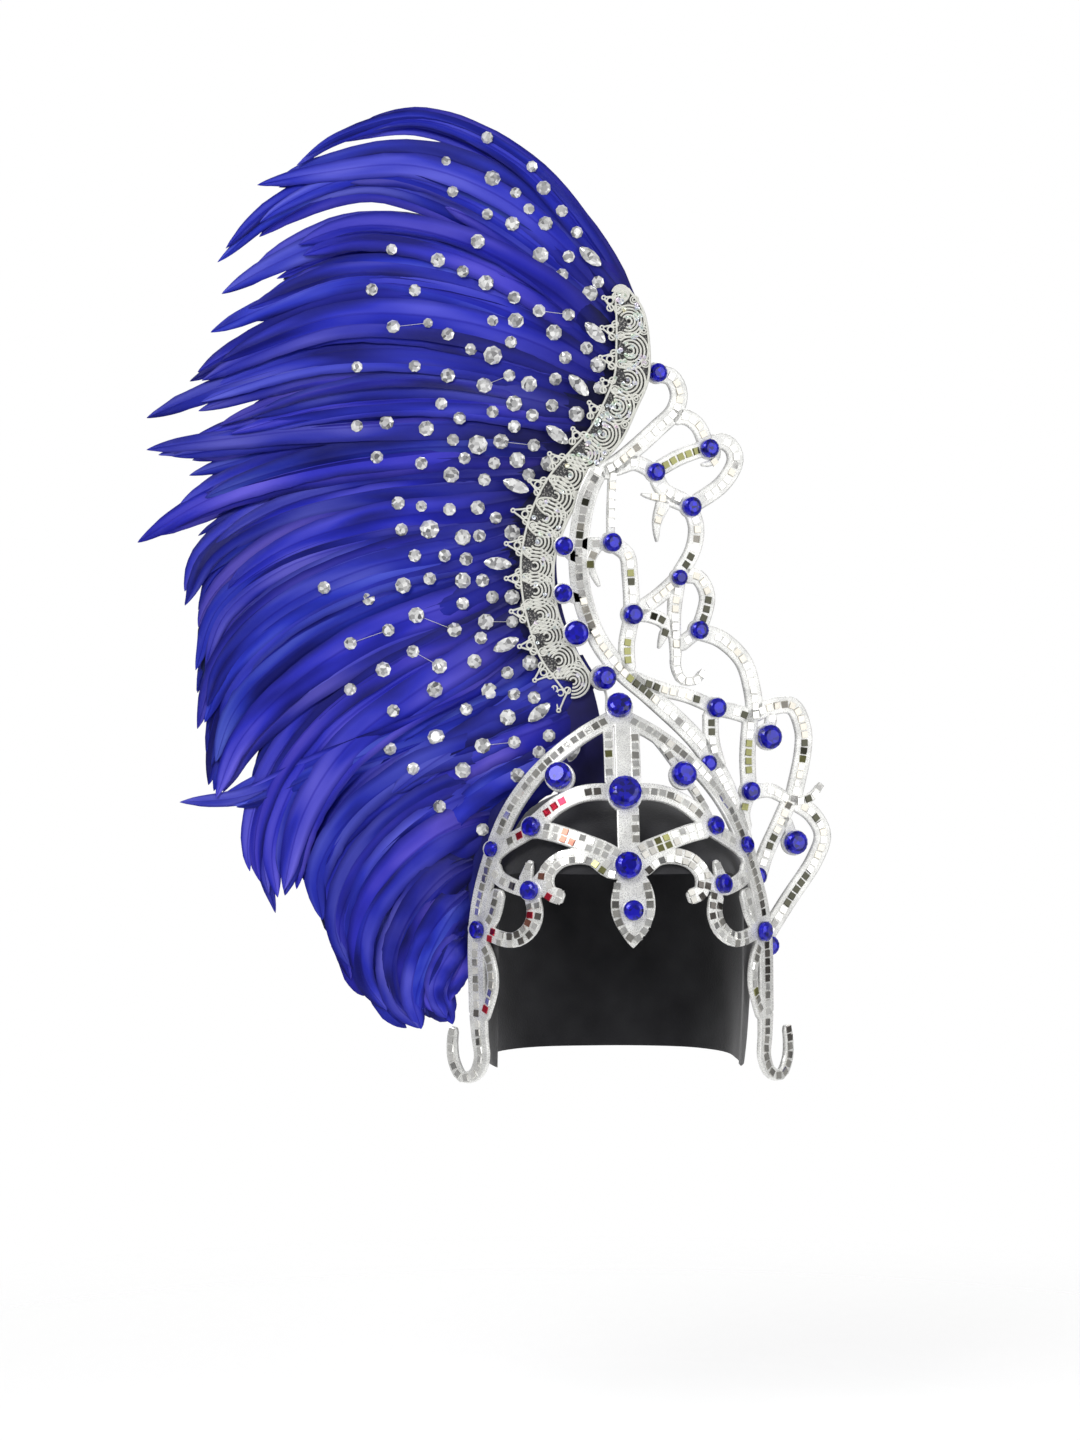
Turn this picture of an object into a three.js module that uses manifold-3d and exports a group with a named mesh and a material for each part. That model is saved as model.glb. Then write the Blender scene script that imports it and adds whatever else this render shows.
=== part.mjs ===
// Showgirl feather headdress, in millimetres, +Z up, the front towards -Y, +X to the viewer's right.
// A felt cap carries a mosaic tiara, a scroll wing, a velvet crest with lace, and a fan of feathers.
import * as THREE from 'three';
import { mergeVertices } from 'three/addons/utils/BufferGeometryUtils.js';
import Module from 'manifold-3d';

const wasm = await Module();
wasm.setup();

// Driving dimensions. Heights in the tables below are above the brow line, and the origin is the
// inside of the cap's crown, SEAT_HEIGHT above that line.
const SEAT_HEIGHT = 36;
const GAP = 0.3;
const STROKE_SPACING = 18;

// Cap: a boxy oval hood, open below and in front of the face.
const CAP_WALL = 3;
const CAP_HALF_WIDTH = 85;
const CAP_FRONT_DEPTH = 100;
const CAP_BACK_DEPTH = 90;
const CAP_GIRTH_HEIGHT = -45;
const CAP_BOTTOM = -131;
const CAP_SQUARENESS = 2.6;
const CAP_SIDES = 28;
const FACE_HALF_WIDTH = 74;
const FACE_TOP = -12;
const FACE_BACK = 12;

// Tiara: a plate bent round the brow that leans back towards its apex.
const TIARA_THICKNESS = 3;
const TIARA_FRONT = -101.5;
const TIARA_HALF_WIDTH = 87;
const TIARA_SIDE_DEPTH = 50;
const TIARA_LEAN = 42;
const TIARA_LEAN_START = -50;
const TIARA_TOP = 87;
const TIARA_MIRROR_X = -0.3;
const TIARA_MIRROR_LEAN = 0.018;
const BEND_STEP = 14;

// Crest, lace and wing lie in front of one another, each a gap from the next.
const CREST_FRONT = -45;
const CREST_THICKNESS = 3;
const LACE_THICKNESS = 1.6;
const WING_THICKNESS = 3;
const WING_FOLD_X = -15;
const WING_SLOPE = 0.35;

// Feather fan: locks in two layers a node, swept back away from the crest.
const LOCK_THICKNESS = 1.8;
const LAYER_PITCH = 2.2;
const FAN_ROOT_X = -30;
const FAN_ROOT_TOP = 330;
const FAN_REACH = 270;
const FAN_SWEEP = 55;
const ROOT_STRIP_WIDTH = 8;

// Stones: an eight-sided cut with a table, as a share of its girdle radius.
const STONE_SIDES = 8;
const STONE_HEIGHT = 0.62;
const STONE_GIRDLE = 0.2;
const STONE_TABLE = 0.6;

const material = (color, roughness, metalness) =>
  new THREE.MeshStandardMaterial({ color, roughness, metalness });

// Joining and cutting.
function toSolid(geometry) {
  const bare = geometry.index ? geometry.toNonIndexed() : geometry.clone();
  bare.deleteAttribute('normal');
  bare.deleteAttribute('uv');
  const merged = mergeVertices(bare, 1e-4);
  const triVerts = Uint32Array.from(merged.index.array);
  const vertProperties = Float32Array.from(merged.attributes.position.array);
  return new wasm.Manifold(new wasm.Mesh({ numProp: 3, vertProperties, triVerts }));
}

function toGeometry(solid) {
  const mesh = solid.getMesh();
  const geometry = new THREE.BufferGeometry();
  geometry.setAttribute('position', new THREE.Float32BufferAttribute(mesh.vertProperties, 3));
  geometry.setIndex(Array.from(mesh.triVerts));
  return geometry;
}

const joined = (solids) => solids.reduce((sum, solid) => sum.add(solid));

// The centre line of a stroke, smooth through its points.
function centreLine(points) {
  return new THREE.CatmullRomCurve3(points.map(([x, z]) => new THREE.Vector3(x, z, 0)), false, 'centripetal');
}

// A flat stroke of even or tapering width along its centre line, drawn in x and z, thick along depth.
function stroke({ line, width, start = 1, end = 1, spacing = STROKE_SPACING }, thickness) {
  const curve = centreLine(line);
  const steps = Math.max(2, Math.round(curve.getLength() / spacing));
  const left = [];
  const right = [];
  for (let i = 0; i <= steps; i++) {
    const u = i / steps;
    const point = curve.getPointAt(u);
    const tangent = curve.getTangentAt(u);
    const half = (width / 2) * THREE.MathUtils.lerp(start, end, u);
    left.push(new THREE.Vector2(point.x - tangent.y * half, point.y + tangent.x * half));
    right.unshift(new THREE.Vector2(point.x + tangent.y * half, point.y - tangent.x * half));
  }
  return plate(new THREE.Shape([...left, ...right]), thickness);
}

// A flat plate of a drawn shape. Its depth runs from 0 to thickness until it is placed.
function plate(shape, thickness, curveSegments = 4) {
  const options = { depth: thickness, bevelEnabled: false, curveSegments };
  return toSolid(new THREE.ExtrudeGeometry(shape, options));
}

function disc(x, z, radius, thickness, sides = 8) {
  const shape = new THREE.Shape();
  for (let i = 0; i < sides; i++) {
    const angle = (2 * Math.PI * i) / sides;
    const corner = [x + radius * Math.cos(angle), z + radius * Math.sin(angle)];
    if (i === 0) shape.moveTo(...corner);
    else shape.lineTo(...corner);
  }
  return plate(shape, thickness);
}

// Splits every edge that runs further sideways than the step, so that a plate can be bent.
function refine(geometry, step) {
  const points = Array.from(geometry.attributes.position.array);
  let triangles = Array.from(geometry.index.array);
  const middles = new Map();
  const middle = (a, b) => {
    if (Math.abs(points[3 * a] - points[3 * b]) <= step) return -1;
    const key = a < b ? `${a}_${b}` : `${b}_${a}`;
    if (!middles.has(key)) {
      middles.set(key, points.length / 3);
      for (let k = 0; k < 3; k++) points.push((points[3 * a + k] + points[3 * b + k]) / 2);
    }
    return middles.get(key);
  };
  for (let split = true; split;) {
    split = false;
    const next = [];
    for (let i = 0; i < triangles.length; i += 3) {
      const corners = triangles.slice(i, i + 3);
      const spans = [0, 1, 2].map((k) => Math.abs(points[3 * corners[k]] - points[3 * corners[(k + 1) % 3]]));
      const longest = spans.indexOf(Math.max(...spans));
      const [a, b, c] = [0, 1, 2].map((k) => corners[(longest + k) % 3]);
      const [ab, bc, ca] = [middle(a, b), middle(b, c), middle(c, a)];
      if (ab < 0) next.push(a, b, c);
      else if (bc < 0 && ca < 0) next.push(a, ab, c, ab, b, c);
      else if (ca < 0) next.push(a, ab, c, ab, bc, c, ab, b, bc);
      else if (bc < 0) next.push(a, ab, ca, ab, b, c, ab, c, ca);
      else next.push(a, ab, ca, ab, b, bc, ca, bc, c, ab, bc, ca);
      split ||= ab >= 0;
    }
    triangles = next;
  }
  const refined = new THREE.BufferGeometry();
  refined.setAttribute('position', new THREE.Float32BufferAttribute(points, 3));
  refined.setIndex(triangles);
  return refined;
}

// Stands a drawn plate up: its drawn y becomes height, and its back lies on the surface depth(x, z).
function standUp(geometry, depth) {
  const position = geometry.attributes.position;
  for (let i = 0; i < position.count; i++) {
    const [x, z, out] = [position.getX(i), position.getY(i), position.getZ(i)];
    position.setXYZ(i, x, depth(x, z) - out, z - SEAT_HEIGHT);
  }
  return geometry;
}

// Surfaces, as depth at a place seen from the front.
function tiaraBack(x, z) {
  const side = TIARA_SIDE_DEPTH * (Math.min(Math.abs(x), TIARA_HALF_WIDTH) / TIARA_HALF_WIDTH) ** 2.6;
  const beyond = Math.max(0, Math.abs(x) - TIARA_HALF_WIDTH);
  const rise = Math.max(0, z - TIARA_LEAN_START) / (TIARA_TOP - TIARA_LEAN_START);
  return TIARA_FRONT + TIARA_THICKNESS + side + beyond + TIARA_LEAN * rise ** 1.6;
}

const wingBack = (x) => CREST_FRONT - LACE_THICKNESS - 2 * GAP + WING_SLOPE * Math.max(0, x - WING_FOLD_X);

function fanFront(x, z) {
  const reach = Math.hypot(Math.min(0, x - FAN_ROOT_X), 0.8 * Math.max(0, z - FAN_ROOT_TOP));
  return CREST_FRONT + CREST_THICKNESS + GAP + FAN_SWEEP * (reach / FAN_REACH) ** 1.7;
}

// Cap: a hood of revolution drawn out to a boxy oval, with the face opening cut through its front.
function capBody(inset, bottom) {
  const profile = [new THREE.Vector2(0, 1)];
  const rings = 6;
  for (let i = 1; i <= rings; i++) {
    const angle = (Math.PI / 2) * (1 - i / rings);
    profile.push(new THREE.Vector2(Math.cos(angle), Math.sin(angle)));
  }
  profile.push(new THREE.Vector2(0.97, -0.5), new THREE.Vector2(0.93, -1), new THREE.Vector2(0, -1));
  const geometry = new THREE.LatheGeometry(profile.reverse(), CAP_SIDES);
  const position = geometry.attributes.position;
  const above = SEAT_HEIGHT + CAP_WALL - inset - CAP_GIRTH_HEIGHT;
  const below = CAP_GIRTH_HEIGHT - bottom;
  const boxy = (value) => Math.sign(value) * Math.abs(value) ** (2 / CAP_SQUARENESS);
  for (let i = 0; i < position.count; i++) {
    const height = position.getY(i);
    const radius = Math.hypot(position.getX(i), position.getZ(i));
    const angle = Math.atan2(-position.getZ(i), position.getX(i));
    const x = radius * boxy(Math.cos(angle)) * (CAP_HALF_WIDTH - inset);
    const reach = (Math.sin(angle) < 0 ? CAP_FRONT_DEPTH : CAP_BACK_DEPTH) - inset;
    const y = radius * boxy(Math.sin(angle)) * reach;
    const z = CAP_GIRTH_HEIGHT + height * (height > 0 ? above : below);
    position.setXYZ(i, x, y, z - SEAT_HEIGHT);
  }
  return toSolid(geometry);
}

function faceCut(margin) {
  const shape = new THREE.Shape();
  const half = FACE_HALF_WIDTH - margin;
  const top = FACE_TOP - margin;
  const below = CAP_BOTTOM - 40;
  shape.moveTo(-half, below);
  shape.lineTo(-half, -60);
  shape.quadraticCurveTo(-half, top - 14, -40, top - 2);
  shape.quadraticCurveTo(0, top + 8, 40, top - 2);
  shape.quadraticCurveTo(half, top - 14, half, -60);
  shape.lineTo(half, below);
  const depth = CAP_FRONT_DEPTH + 30 + FACE_BACK - margin;
  const geometry = new THREE.ExtrudeGeometry(shape, { depth, bevelEnabled: false, curveSegments: 5 });
  return toSolid(standUp(geometry, () => FACE_BACK - margin));
}

const capClearance = capBody(-GAP, CAP_BOTTOM - GAP).subtract(faceCut(GAP));

function capGeometry() {
  const hollow = capBody(CAP_WALL, CAP_BOTTOM - 5);
  return toGeometry(capBody(0, CAP_BOTTOM).subtract(hollow).subtract(faceCut(0)));
}

// Tiara strokes of the left half, in x and height, mirrored to the right about a leaning centre line.
const TIARA_SIDES = [
  { line: [[0, 84], [-25, 70], [-50, 49], [-68, 24], [-80, -8], [-87, -42], [-87, -100]], width: 9.5 },
  { line: [[-2, 36], [-15, 37], [-28, 35], [-40, 29], [-56, 15]], width: 10 },
  { line: [[0, -5], [-12, 2], [-25, 7], [-40, 12], [-54, 15]], width: 11 },
  {
    line: [[0, -10], [-10, -9], [-20, -2], [-30, -1], [-40, -4], [-47, -12], [-46, -22], [-37, -26]],
    width: 9.5,
  },
  { line: [[-54, 15], [-64, 9], [-73, 3], [-79, -3]], width: 9 },
  { line: [[-46, -10], [-56, -22]], width: 8 },
  { line: [[-60, -19], [-56, -4]], width: 9, end: 0.4 },
  { line: [[-79, -5], [-76, -14], [-68, -19], [-58, -22]], width: 9 },
  { line: [[-56, -23], [-54, -36], [-58, -46], [-67, -52], [-78, -50], [-86, -46]], width: 9 },
  { line: [[-75, -22], [-78, -36], [-83, -48]], width: 8 },
  { line: [[-85, -52], [-80, -65], [-78.5, -80], [-84, -102]], width: 11, start: 0.5, end: 0.5 },
];
const TIARA_HOOK = {
  line: [[-87, -96], [-86, -112], [-85, -125], [-89, -135], [-96, -137], [-101, -128], [-102, -116],
    [-101, -107]],
  width: 9.5,
  end: 0.55,
  spacing: 8,
};
const TIARA_POST = [
  { x: -8.5, from: 40, to: 84, width: 6 },
  { x: 7.5, from: 40, to: 82, width: 6 },
  { x: 0.3, from: -12, to: 86, width: 10 },
];
const PENDANT = { x: 4, top: -9, bottom: -55, halfWidth: 13.5 };

// Blue stones, with the girdle radius of each.
const TIARA_STONES = [
  { x: 0.3, z: 35.5, radius: 9.8 },
  { x: 1.3, z: -7, radius: 8 },
  { x: 4, z: -33, radius: 6 },
  { x: -38, z: 45.5, radius: 8 },
  { x: 36, z: 46.5, radius: 7.5 },
  { x: -54.5, z: 15.5, radius: 5.8 },
  { x: 55, z: 16, radius: 5.5 },
  { x: -77.5, z: 1.5, radius: 4.7 },
  { x: 75.5, z: 4, radius: 5 },
  { x: -56, z: -22, radius: 5.7 },
  { x: 59, z: -18.5, radius: 5.8 },
  { x: -85.5, z: -47, radius: 5.4 },
  { x: 86, z: -48.5, radius: 6 },
  { x: -1.3, z: 87.5, radius: 7.5 },
];
const WING_STONES = [
  { x: 23.5, z: 291, radius: 5.7 },
  { x: 56.5, z: 246, radius: 5.7 },
  { x: 22.5, z: 230.5, radius: 5.5 },
  { x: 45, z: 210, radius: 6 },
  { x: -5, z: 187, radius: 5.7 },
  { x: 37.5, z: 166.5, radius: 4.8 },
  { x: 8, z: 143.5, radius: 6 },
  { x: 50, z: 134.5, radius: 5.6 },
  { x: 61, z: 87, radius: 6 },
  { x: 95, z: 69, radius: 7.5 },
  { x: 83, z: 35.5, radius: 5.8 },
  { x: 112, z: 3.5, radius: 7.3 },
  { x: 95, z: -60, radius: 6 },
  { x: 87.5, z: -17, radius: 5.5 },
  { x: 56, z: 53, radius: 5 },
  { x: -10, z: 105, radius: 7 },
  { x: -26.5, z: 132, radius: 7.3 },
  { x: -34.5, z: 156, radius: 5.5 },
  { x: -34, z: 184.5, radius: 5.5 },
];

// Wing scrolls, in x and height.
const WING_STROKES = [
  { line: [[-12, 232], [-20, 215], [-25, 185], [-23, 155], [-14, 130], [1, 110], [20, 94], [50, 66], [66, 42],
    [77, 12], [85, -20], [91, -57]], width: 12 },
  {
    line: [[20, 291], [33, 289], [38, 279], [35, 268], [25, 258], [12, 246], [0, 236], [-12, 228]],
    width: 11,
  },
  { line: [[33, 264], [42, 265], [50, 260], [56, 247]], width: 10 },
  { line: [[22.5, 231], [38, 240], [56, 247]], width: 10 },
  { line: [[-10, 230], [0, 233], [10, 236], [22, 231]], width: 10 },
  { line: [[56, 247], [65, 251], [72, 247], [74, 239], [66, 225], [45, 210]], width: 10.5 },
  { line: [[63, 246], [60, 238], [52, 236]], width: 6, end: 0.5 },
  { line: [[23, 229], [28, 220], [45, 212]], width: 10 },
  { line: [[45, 210], [30, 214], [14, 217]], width: 10, end: 0.3 },
  { line: [[29, 214], [24, 200], [24, 188]], width: 10, end: 0.2 },
  { line: [[-4, 230], [-5, 205], [-5, 190]], width: 5 },
  { line: [[-24, 186], [-16, 186], [-5, 187]], width: 9 },
  { line: [[-12, 187], [-18, 174], [-12, 160]], width: 7.5, end: 0.4 },
  { line: [[-5, 187], [5, 180], [7, 168], [8, 143.5], [5, 125], [6, 108]], width: 10 },
  { line: [[45, 210], [49, 198], [47, 184], [37.5, 167]], width: 10 },
  { line: [[37.5, 166], [24, 154], [8, 143.5]], width: 10 },
  {
    line: [[37.5, 166], [35, 145], [36, 120], [36, 112], [40, 104], [49, 104], [54, 110]],
    width: 10,
    end: 0.5,
  },
  { line: [[8, 143.5], [20, 143], [29, 139], [35, 130]], width: 9 },
  { line: [[30, 136], [25, 123]], width: 7.5, end: 0.3 },
  { line: [[40, 168], [50, 167], [56, 156], [54, 144], [50, 134]], width: 10 },
  { line: [[50, 134], [65, 129], [79, 116], [85, 98], [87, 80]], width: 11 },
  { line: [[50, 134], [36, 123]], width: 9 },
  { line: [[6, 106], [28, 98], [44, 94], [61, 87]], width: 9 },
  { line: [[61, 87], [75, 84], [87, 80]], width: 10 },
  { line: [[84, 84], [82, 58], [83, 35]], width: 10 },
  { line: [[58, 86], [59, 66], [64, 48]], width: 10 },
  { line: [[84, 82], [95, 87], [111, 88], [118, 74], [118, 60], [111, 28]], width: 11 },
  { line: [[98, 84], [95, 69]], width: 7.5 },
  { line: [[83, 35], [96, 36], [112, 29], [124, 32], [130, 40]], width: 11, end: 0.4 },
  { line: [[109, 29], [101, 12], [93, -5], [88, -22]], width: 10.5 },
  { line: [[112, 29], [124, 21], [131, 8], [126, -7], [108, -33], [92, -57]], width: 11 },
  { line: [[106, 20], [112, 3.5]], width: 7.5 },
  { line: [[83, 35], [79, 22], [81, 10]], width: 9 },
  { line: [[-25, 175], [-34, 184]], width: 7.5 },
  { line: [[-23, 152], [-34.5, 156]], width: 7.5 },
  { line: [[-16, 134], [-26.5, 132]], width: 7.5 },
  { line: [[1, 110], [-10, 105]], width: 7.5 },
];

function mirrored({ line, ...rest }) {
  const flip = ([x, z]) => [2 * (TIARA_MIRROR_X - TIARA_MIRROR_LEAN * z) - x, z];
  return { ...rest, line: line.map(flip) };
}

const bezels = (stones, thickness) => stones.map(({ x, z, radius }) => disc(x, z, radius + 1, thickness));

function pendantShape({ x, top, bottom, halfWidth }) {
  const shape = new THREE.Shape();
  const widest = (top + bottom) / 2 + 5;
  shape.moveTo(x, bottom);
  shape.quadraticCurveTo(x + halfWidth * 0.5, bottom + 4, x + halfWidth, widest);
  shape.lineTo(x + halfWidth * 0.7, top);
  shape.lineTo(x - halfWidth * 0.9, top);
  shape.lineTo(x - halfWidth, widest);
  shape.quadraticCurveTo(x - halfWidth * 0.5, bottom + 4, x, bottom);
  return shape;
}

function tiaraGeometry() {
  const sides = [...TIARA_SIDES, TIARA_HOOK];
  const strokes = [...sides, ...sides.map(mirrored)].map((row) => stroke(row, TIARA_THICKNESS));
  const post = TIARA_POST.map(({ x, from, to, width }) =>
    stroke({ line: [[x, from], [x, to]], width }, TIARA_THICKNESS));
  const drop = plate(pendantShape(PENDANT), TIARA_THICKNESS);
  const flat = joined([...strokes, ...post, drop, ...bezels(TIARA_STONES, TIARA_THICKNESS)]);
  const bent = standUp(refine(toGeometry(flat), BEND_STEP), tiaraBack);
  return toGeometry(toSolid(bent).subtract(capClearance));
}

function wingGeometry() {
  const strokes = WING_STROKES.map((row) => stroke(row, WING_THICKNESS));
  const flat = joined([...strokes, ...bezels(WING_STONES, WING_THICKNESS)]);
  const bent = standUp(refine(toGeometry(flat), 2 * BEND_STEP), wingBack);
  return toGeometry(toSolid(bent).subtract(capClearance).subtract(laceClearance()));
}

// Lace: a band with a smooth right edge and pierced picots on its left, a valley before each.
const LACE_EDGE = [[5, 341], [14, 328], [18, 305], [17, 285], [10, 268], [1, 249], [-13, 232], [-28, 208],
  [-39, 180], [-40, 160], [-36, 140], [-20, 110], [-9, 97], [-8, 88]];
const PICOTS = [
  { valley: [-32, 95], tip: [-37, 86] },
  { valley: [-39, 104], tip: [-51, 104] },
  { valley: [-48, 117], tip: [-60, 124] },
  { valley: [-54, 133], tip: [-65, 145] },
  { valley: [-59, 155], tip: [-68, 165] },
  { valley: [-60, 175], tip: [-68, 186] },
  { valley: [-57, 194], tip: [-64, 206] },
  { valley: [-51, 212], tip: [-54, 224] },
  { valley: [-42, 228], tip: [-42, 240] },
  { valley: [-31, 241], tip: [-28, 255] },
  { valley: [-18, 256], tip: [-18, 271] },
  { valley: [-9, 273], tip: [-10, 285] },
  { valley: [-3, 289], tip: [-11, 299] },
  { valley: [-2, 306], tip: [-10, 317] },
  { valley: [-2, 324], tip: [-9, 335] },
  { valley: [-2, 339], tip: [-3, 346] },
];
const PICOT_HOLE = 2;

function laceShape() {
  const shape = new THREE.Shape();
  shape.moveTo(...LACE_EDGE[0]);
  shape.splineThru(LACE_EDGE.slice(1).map(([x, z]) => new THREE.Vector2(x, z)));
  shape.lineTo(...PICOTS[0].valley);
  PICOTS.forEach(({ valley, tip }, i) => {
    const next = i + 1 < PICOTS.length ? PICOTS[i + 1].valley : LACE_EDGE[0];
    const reach = [0, 1].map((k) => tip[k] + 0.3 * (tip[k] - (valley[k] + next[k]) / 2));
    shape.bezierCurveTo(...outward(valley, reach), ...outward(next, reach), ...next);
  });
  return shape;
}

const outward = (from, to) => [0, 1].map((k) => from[k] + 1.1 * (to[k] - from[k]));

function laceGeometry() {
  const band = plate(laceShape(), LACE_THICKNESS, 3);
  const tips = PICOTS.slice(1, -1).map(({ tip }) => tip);
  const holes = tips.map(([x, z]) => disc(x + 3, z - 1, PICOT_HOLE, LACE_THICKNESS, 6));
  const pierced = band.subtract(joined(holes));
  return standUp(toGeometry(pierced), () => CREST_FRONT - GAP);
}

function laceClearance() {
  const depth = LACE_THICKNESS + CREST_THICKNESS + 3 * GAP;
  const board = toGeometry(plate(laceShape(), depth, 3));
  return toSolid(standUp(board, () => CREST_FRONT + CREST_THICKNESS + GAP));
}

// Crest: the board behind the lace, from its top down to the cap.
const CREST_LINE = [[4, 333], [7, 305], [4, 280], [-8, 255], [-24, 236], [-38, 214], [-47, 188], [-48, 160],
  [-42, 130], [-30, 100], [-24, 70], [-22, 30]];
const CREST_WIDTH = 17;

function crestBoard(margin) {
  const width = CREST_WIDTH + 2 * margin;
  const thickness = CREST_THICKNESS + 2 * margin;
  const board = stroke({ line: CREST_LINE, width, start: 0.5, end: 1.8 }, thickness);
  return toSolid(standUp(toGeometry(board), () => CREST_FRONT + CREST_THICKNESS + margin));
}

// Feather locks, by node. Each line runs from the root to the tip.
const TOP_LOCKS = [
  { line: [[8, 330], [-20, 372], [-62, 418], [-120, 445], [-170, 435], [-196, 419]], width: 16 },
  { line: [[5, 322], [-28, 360], [-72, 396], [-125, 416], [-180, 413], [-220, 407]], width: 25 },
  { line: [[3, 312], [-40, 354], [-95, 391], [-150, 408], [-205, 392], [-245, 361]], width: 23 },
  { line: [[1, 301], [-45, 338], [-100, 366], [-160, 375], [-210, 358], [-242, 341]], width: 26 },
  { line: [[0, 291], [-50, 322], [-105, 342], [-165, 348], [-215, 332], [-249, 318]], width: 26 },
  { line: [[-2, 281], [-55, 306], [-110, 320], [-170, 322], [-225, 305], [-262, 288]], width: 26 },
  { line: [[-6, 272], [-60, 290], [-115, 300], [-175, 300], [-235, 285], [-288, 264]], width: 26 },
  { line: [[-12, 262], [-60, 272], [-120, 279], [-180, 274], [-230, 260], [-260, 249]], width: 24 },
];
const SIDE_LOCKS = [
  { line: [[-22, 250], [-70, 258], [-130, 260], [-190, 256], [-240, 248], [-288, 241]], width: 24 },
  { line: [[-32, 240], [-80, 242], [-140, 240], [-200, 230], [-255, 212], [-295, 190]], width: 28 },
  { line: [[-40, 228], [-90, 223], [-150, 216], [-205, 201], [-240, 186], [-264, 168]], width: 26 },
  { line: [[-46, 215], [-95, 204], [-150, 192], [-205, 172], [-240, 152], [-262, 130]], width: 28 },
  { line: [[-50, 200], [-100, 187], [-155, 168], [-205, 142], [-238, 116], [-258, 88]], width: 28 },
  { line: [[-53, 185], [-100, 168], [-150, 146], [-200, 116], [-234, 84], [-257, 55]], width: 28 },
  { line: [[-54, 170], [-100, 150], [-150, 122], [-195, 92], [-226, 60], [-250, 33]], width: 28 },
  { line: [[-53, 155], [-95, 132], [-140, 108], [-180, 78], [-208, 40], [-219, 0], [-211, -39]], width: 28 },
  { line: [[-50, 140], [-85, 118], [-125, 92], [-165, 60], [-190, 20], [-202, -28]], width: 28 },
  { line: [[-45, 125], [-80, 92], [-130, 70], [-180, 52], [-230, 32], [-268, 28]], width: 22 },
];
const LOW_LOCKS = [
  { line: [[-45, 66], [-85, 62], [-125, 44], [-158, 12], [-178, -22], [-188, -30]], width: 30 },
  { line: [[-58, 46], [-95, 36], [-128, 12], [-155, -22], [-168, -48], [-172, -58]], width: 30 },
  { line: [[-70, 22], [-100, 10], [-128, -16], [-146, -50], [-155, -76], [-156, -88]], width: 30 },
  { line: [[-81, 0], [-105, -12], [-126, -38], [-138, -70], [-138, -92], [-128, -106]], width: 28 },
  { line: [[-89, -22], [-105, -36], [-120, -60], [-126, -86], [-120, -108]], width: 26 },
  { line: [[-90, -50], [-102, -66], [-110, -86], [-101, -105]], width: 22 },
];
const TOP_STRIP = [[6, 334], [2, 305], [-2, 281], [-14, 258]];
const SIDE_STRIP = [[-20, 246], [-38, 226], [-50, 200], [-55, 170], [-50, 140], [-40, 116]];
const LOW_STRIP = [[-34, 70], [-58, 44], [-76, 16], [-90, -12], [-90.5, -50], [-90, -88]];

const lockWidth = (u) => Math.sin(Math.PI * (0.1 + 0.85 * u)) ** 0.6;

// One lock: a thin lens section drawn along its line and laid on the fan's surface.
function lock({ line, width }, layer) {
  const curve = centreLine(line);
  const lens = new THREE.Shape([[-1, 0], [0, -1], [1, 0], [0, 1]].map(([a, b]) => new THREE.Vector2(a, b)));
  const steps = Math.round(curve.getLength() / 26);
  const geometry = new THREE.ExtrudeGeometry(lens, { depth: 1, steps, bevelEnabled: false });
  const position = geometry.attributes.position;
  for (let i = 0; i < position.count; i++) {
    const u = THREE.MathUtils.clamp(position.getZ(i), 0, 1);
    const point = curve.getPointAt(u);
    const tangent = curve.getTangentAt(u);
    const across = (position.getX(i) * width * lockWidth(u)) / 2;
    const x = point.x + tangent.y * across;
    const z = point.y - tangent.x * across;
    const middle = layer * LAYER_PITCH + LOCK_THICKNESS / 2;
    const y = fanFront(x, z) + middle + (position.getY(i) * LOCK_THICKNESS) / 2;
    position.setXYZ(i, x, y, z - SEAT_HEIGHT);
  }
  return toSolid(geometry);
}

function feathersGeometry(locks, strip, firstLayer) {
  const depth = LAYER_PITCH * (firstLayer + 2) + LOCK_THICKNESS;
  const bar = stroke({ line: strip, width: ROOT_STRIP_WIDTH }, depth);
  const root = toSolid(standUp(toGeometry(bar), (x, z) => fanFront(x, z) + depth));
  const blades = locks.map((row, i) => lock(row, firstLayer + (i % 2)));
  return toGeometry(joined([root, ...blades]).subtract(capClearance));
}

// Clear stones of the field: the marquises along the lace, and the larger round ones on their threads.
const MARQUISES = [
  { x: -18, z: 360, turn: -40 },
  { x: -15, z: 314, turn: -45 },
  { x: -25, z: 282, turn: -47 },
  { x: -38, z: 252, turn: -38 },
  { x: -63, z: 221, turn: -22 },
  { x: -74, z: 174, turn: -5 },
  { x: -69, z: 125, turn: 25 },
  { x: -49, z: 84, turn: 40 },
];
const MARQUISE_LENGTH = 17;
const MARQUISE_WIDTH = 7.5;
const ROUND_STONES = [
  [-77, 408], [-48, 361], [-81, 344], [-49, 327], [-63, 321], [-77, 300], [-33, 299], [-82, 282], [-64, 271],
  [-117, 256], [-86, 246], [-102, 228], [-115, 195], [-95, 164], [-123, 143], [-81, 139], [-109, 112],
  [-79, 97],
];
const ROUND_RADIUS = 5;
const THREAD_WIDTH = 1.4;
const THREAD_THICKNESS = 1;
const THREAD_SPACING = 200;
const FIELD_STEP = 45;
const FIELD_STRIP = [[-8, 360], [-6, 333], [-5, 305], [-9, 282], [-20, 262], [-36, 244], [-50, 221],
  [-60, 190], [-61, 160], [-56, 128], [-48, 92]];

const fieldBack = (x, z) => fanFront(x, z) - GAP;

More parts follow.
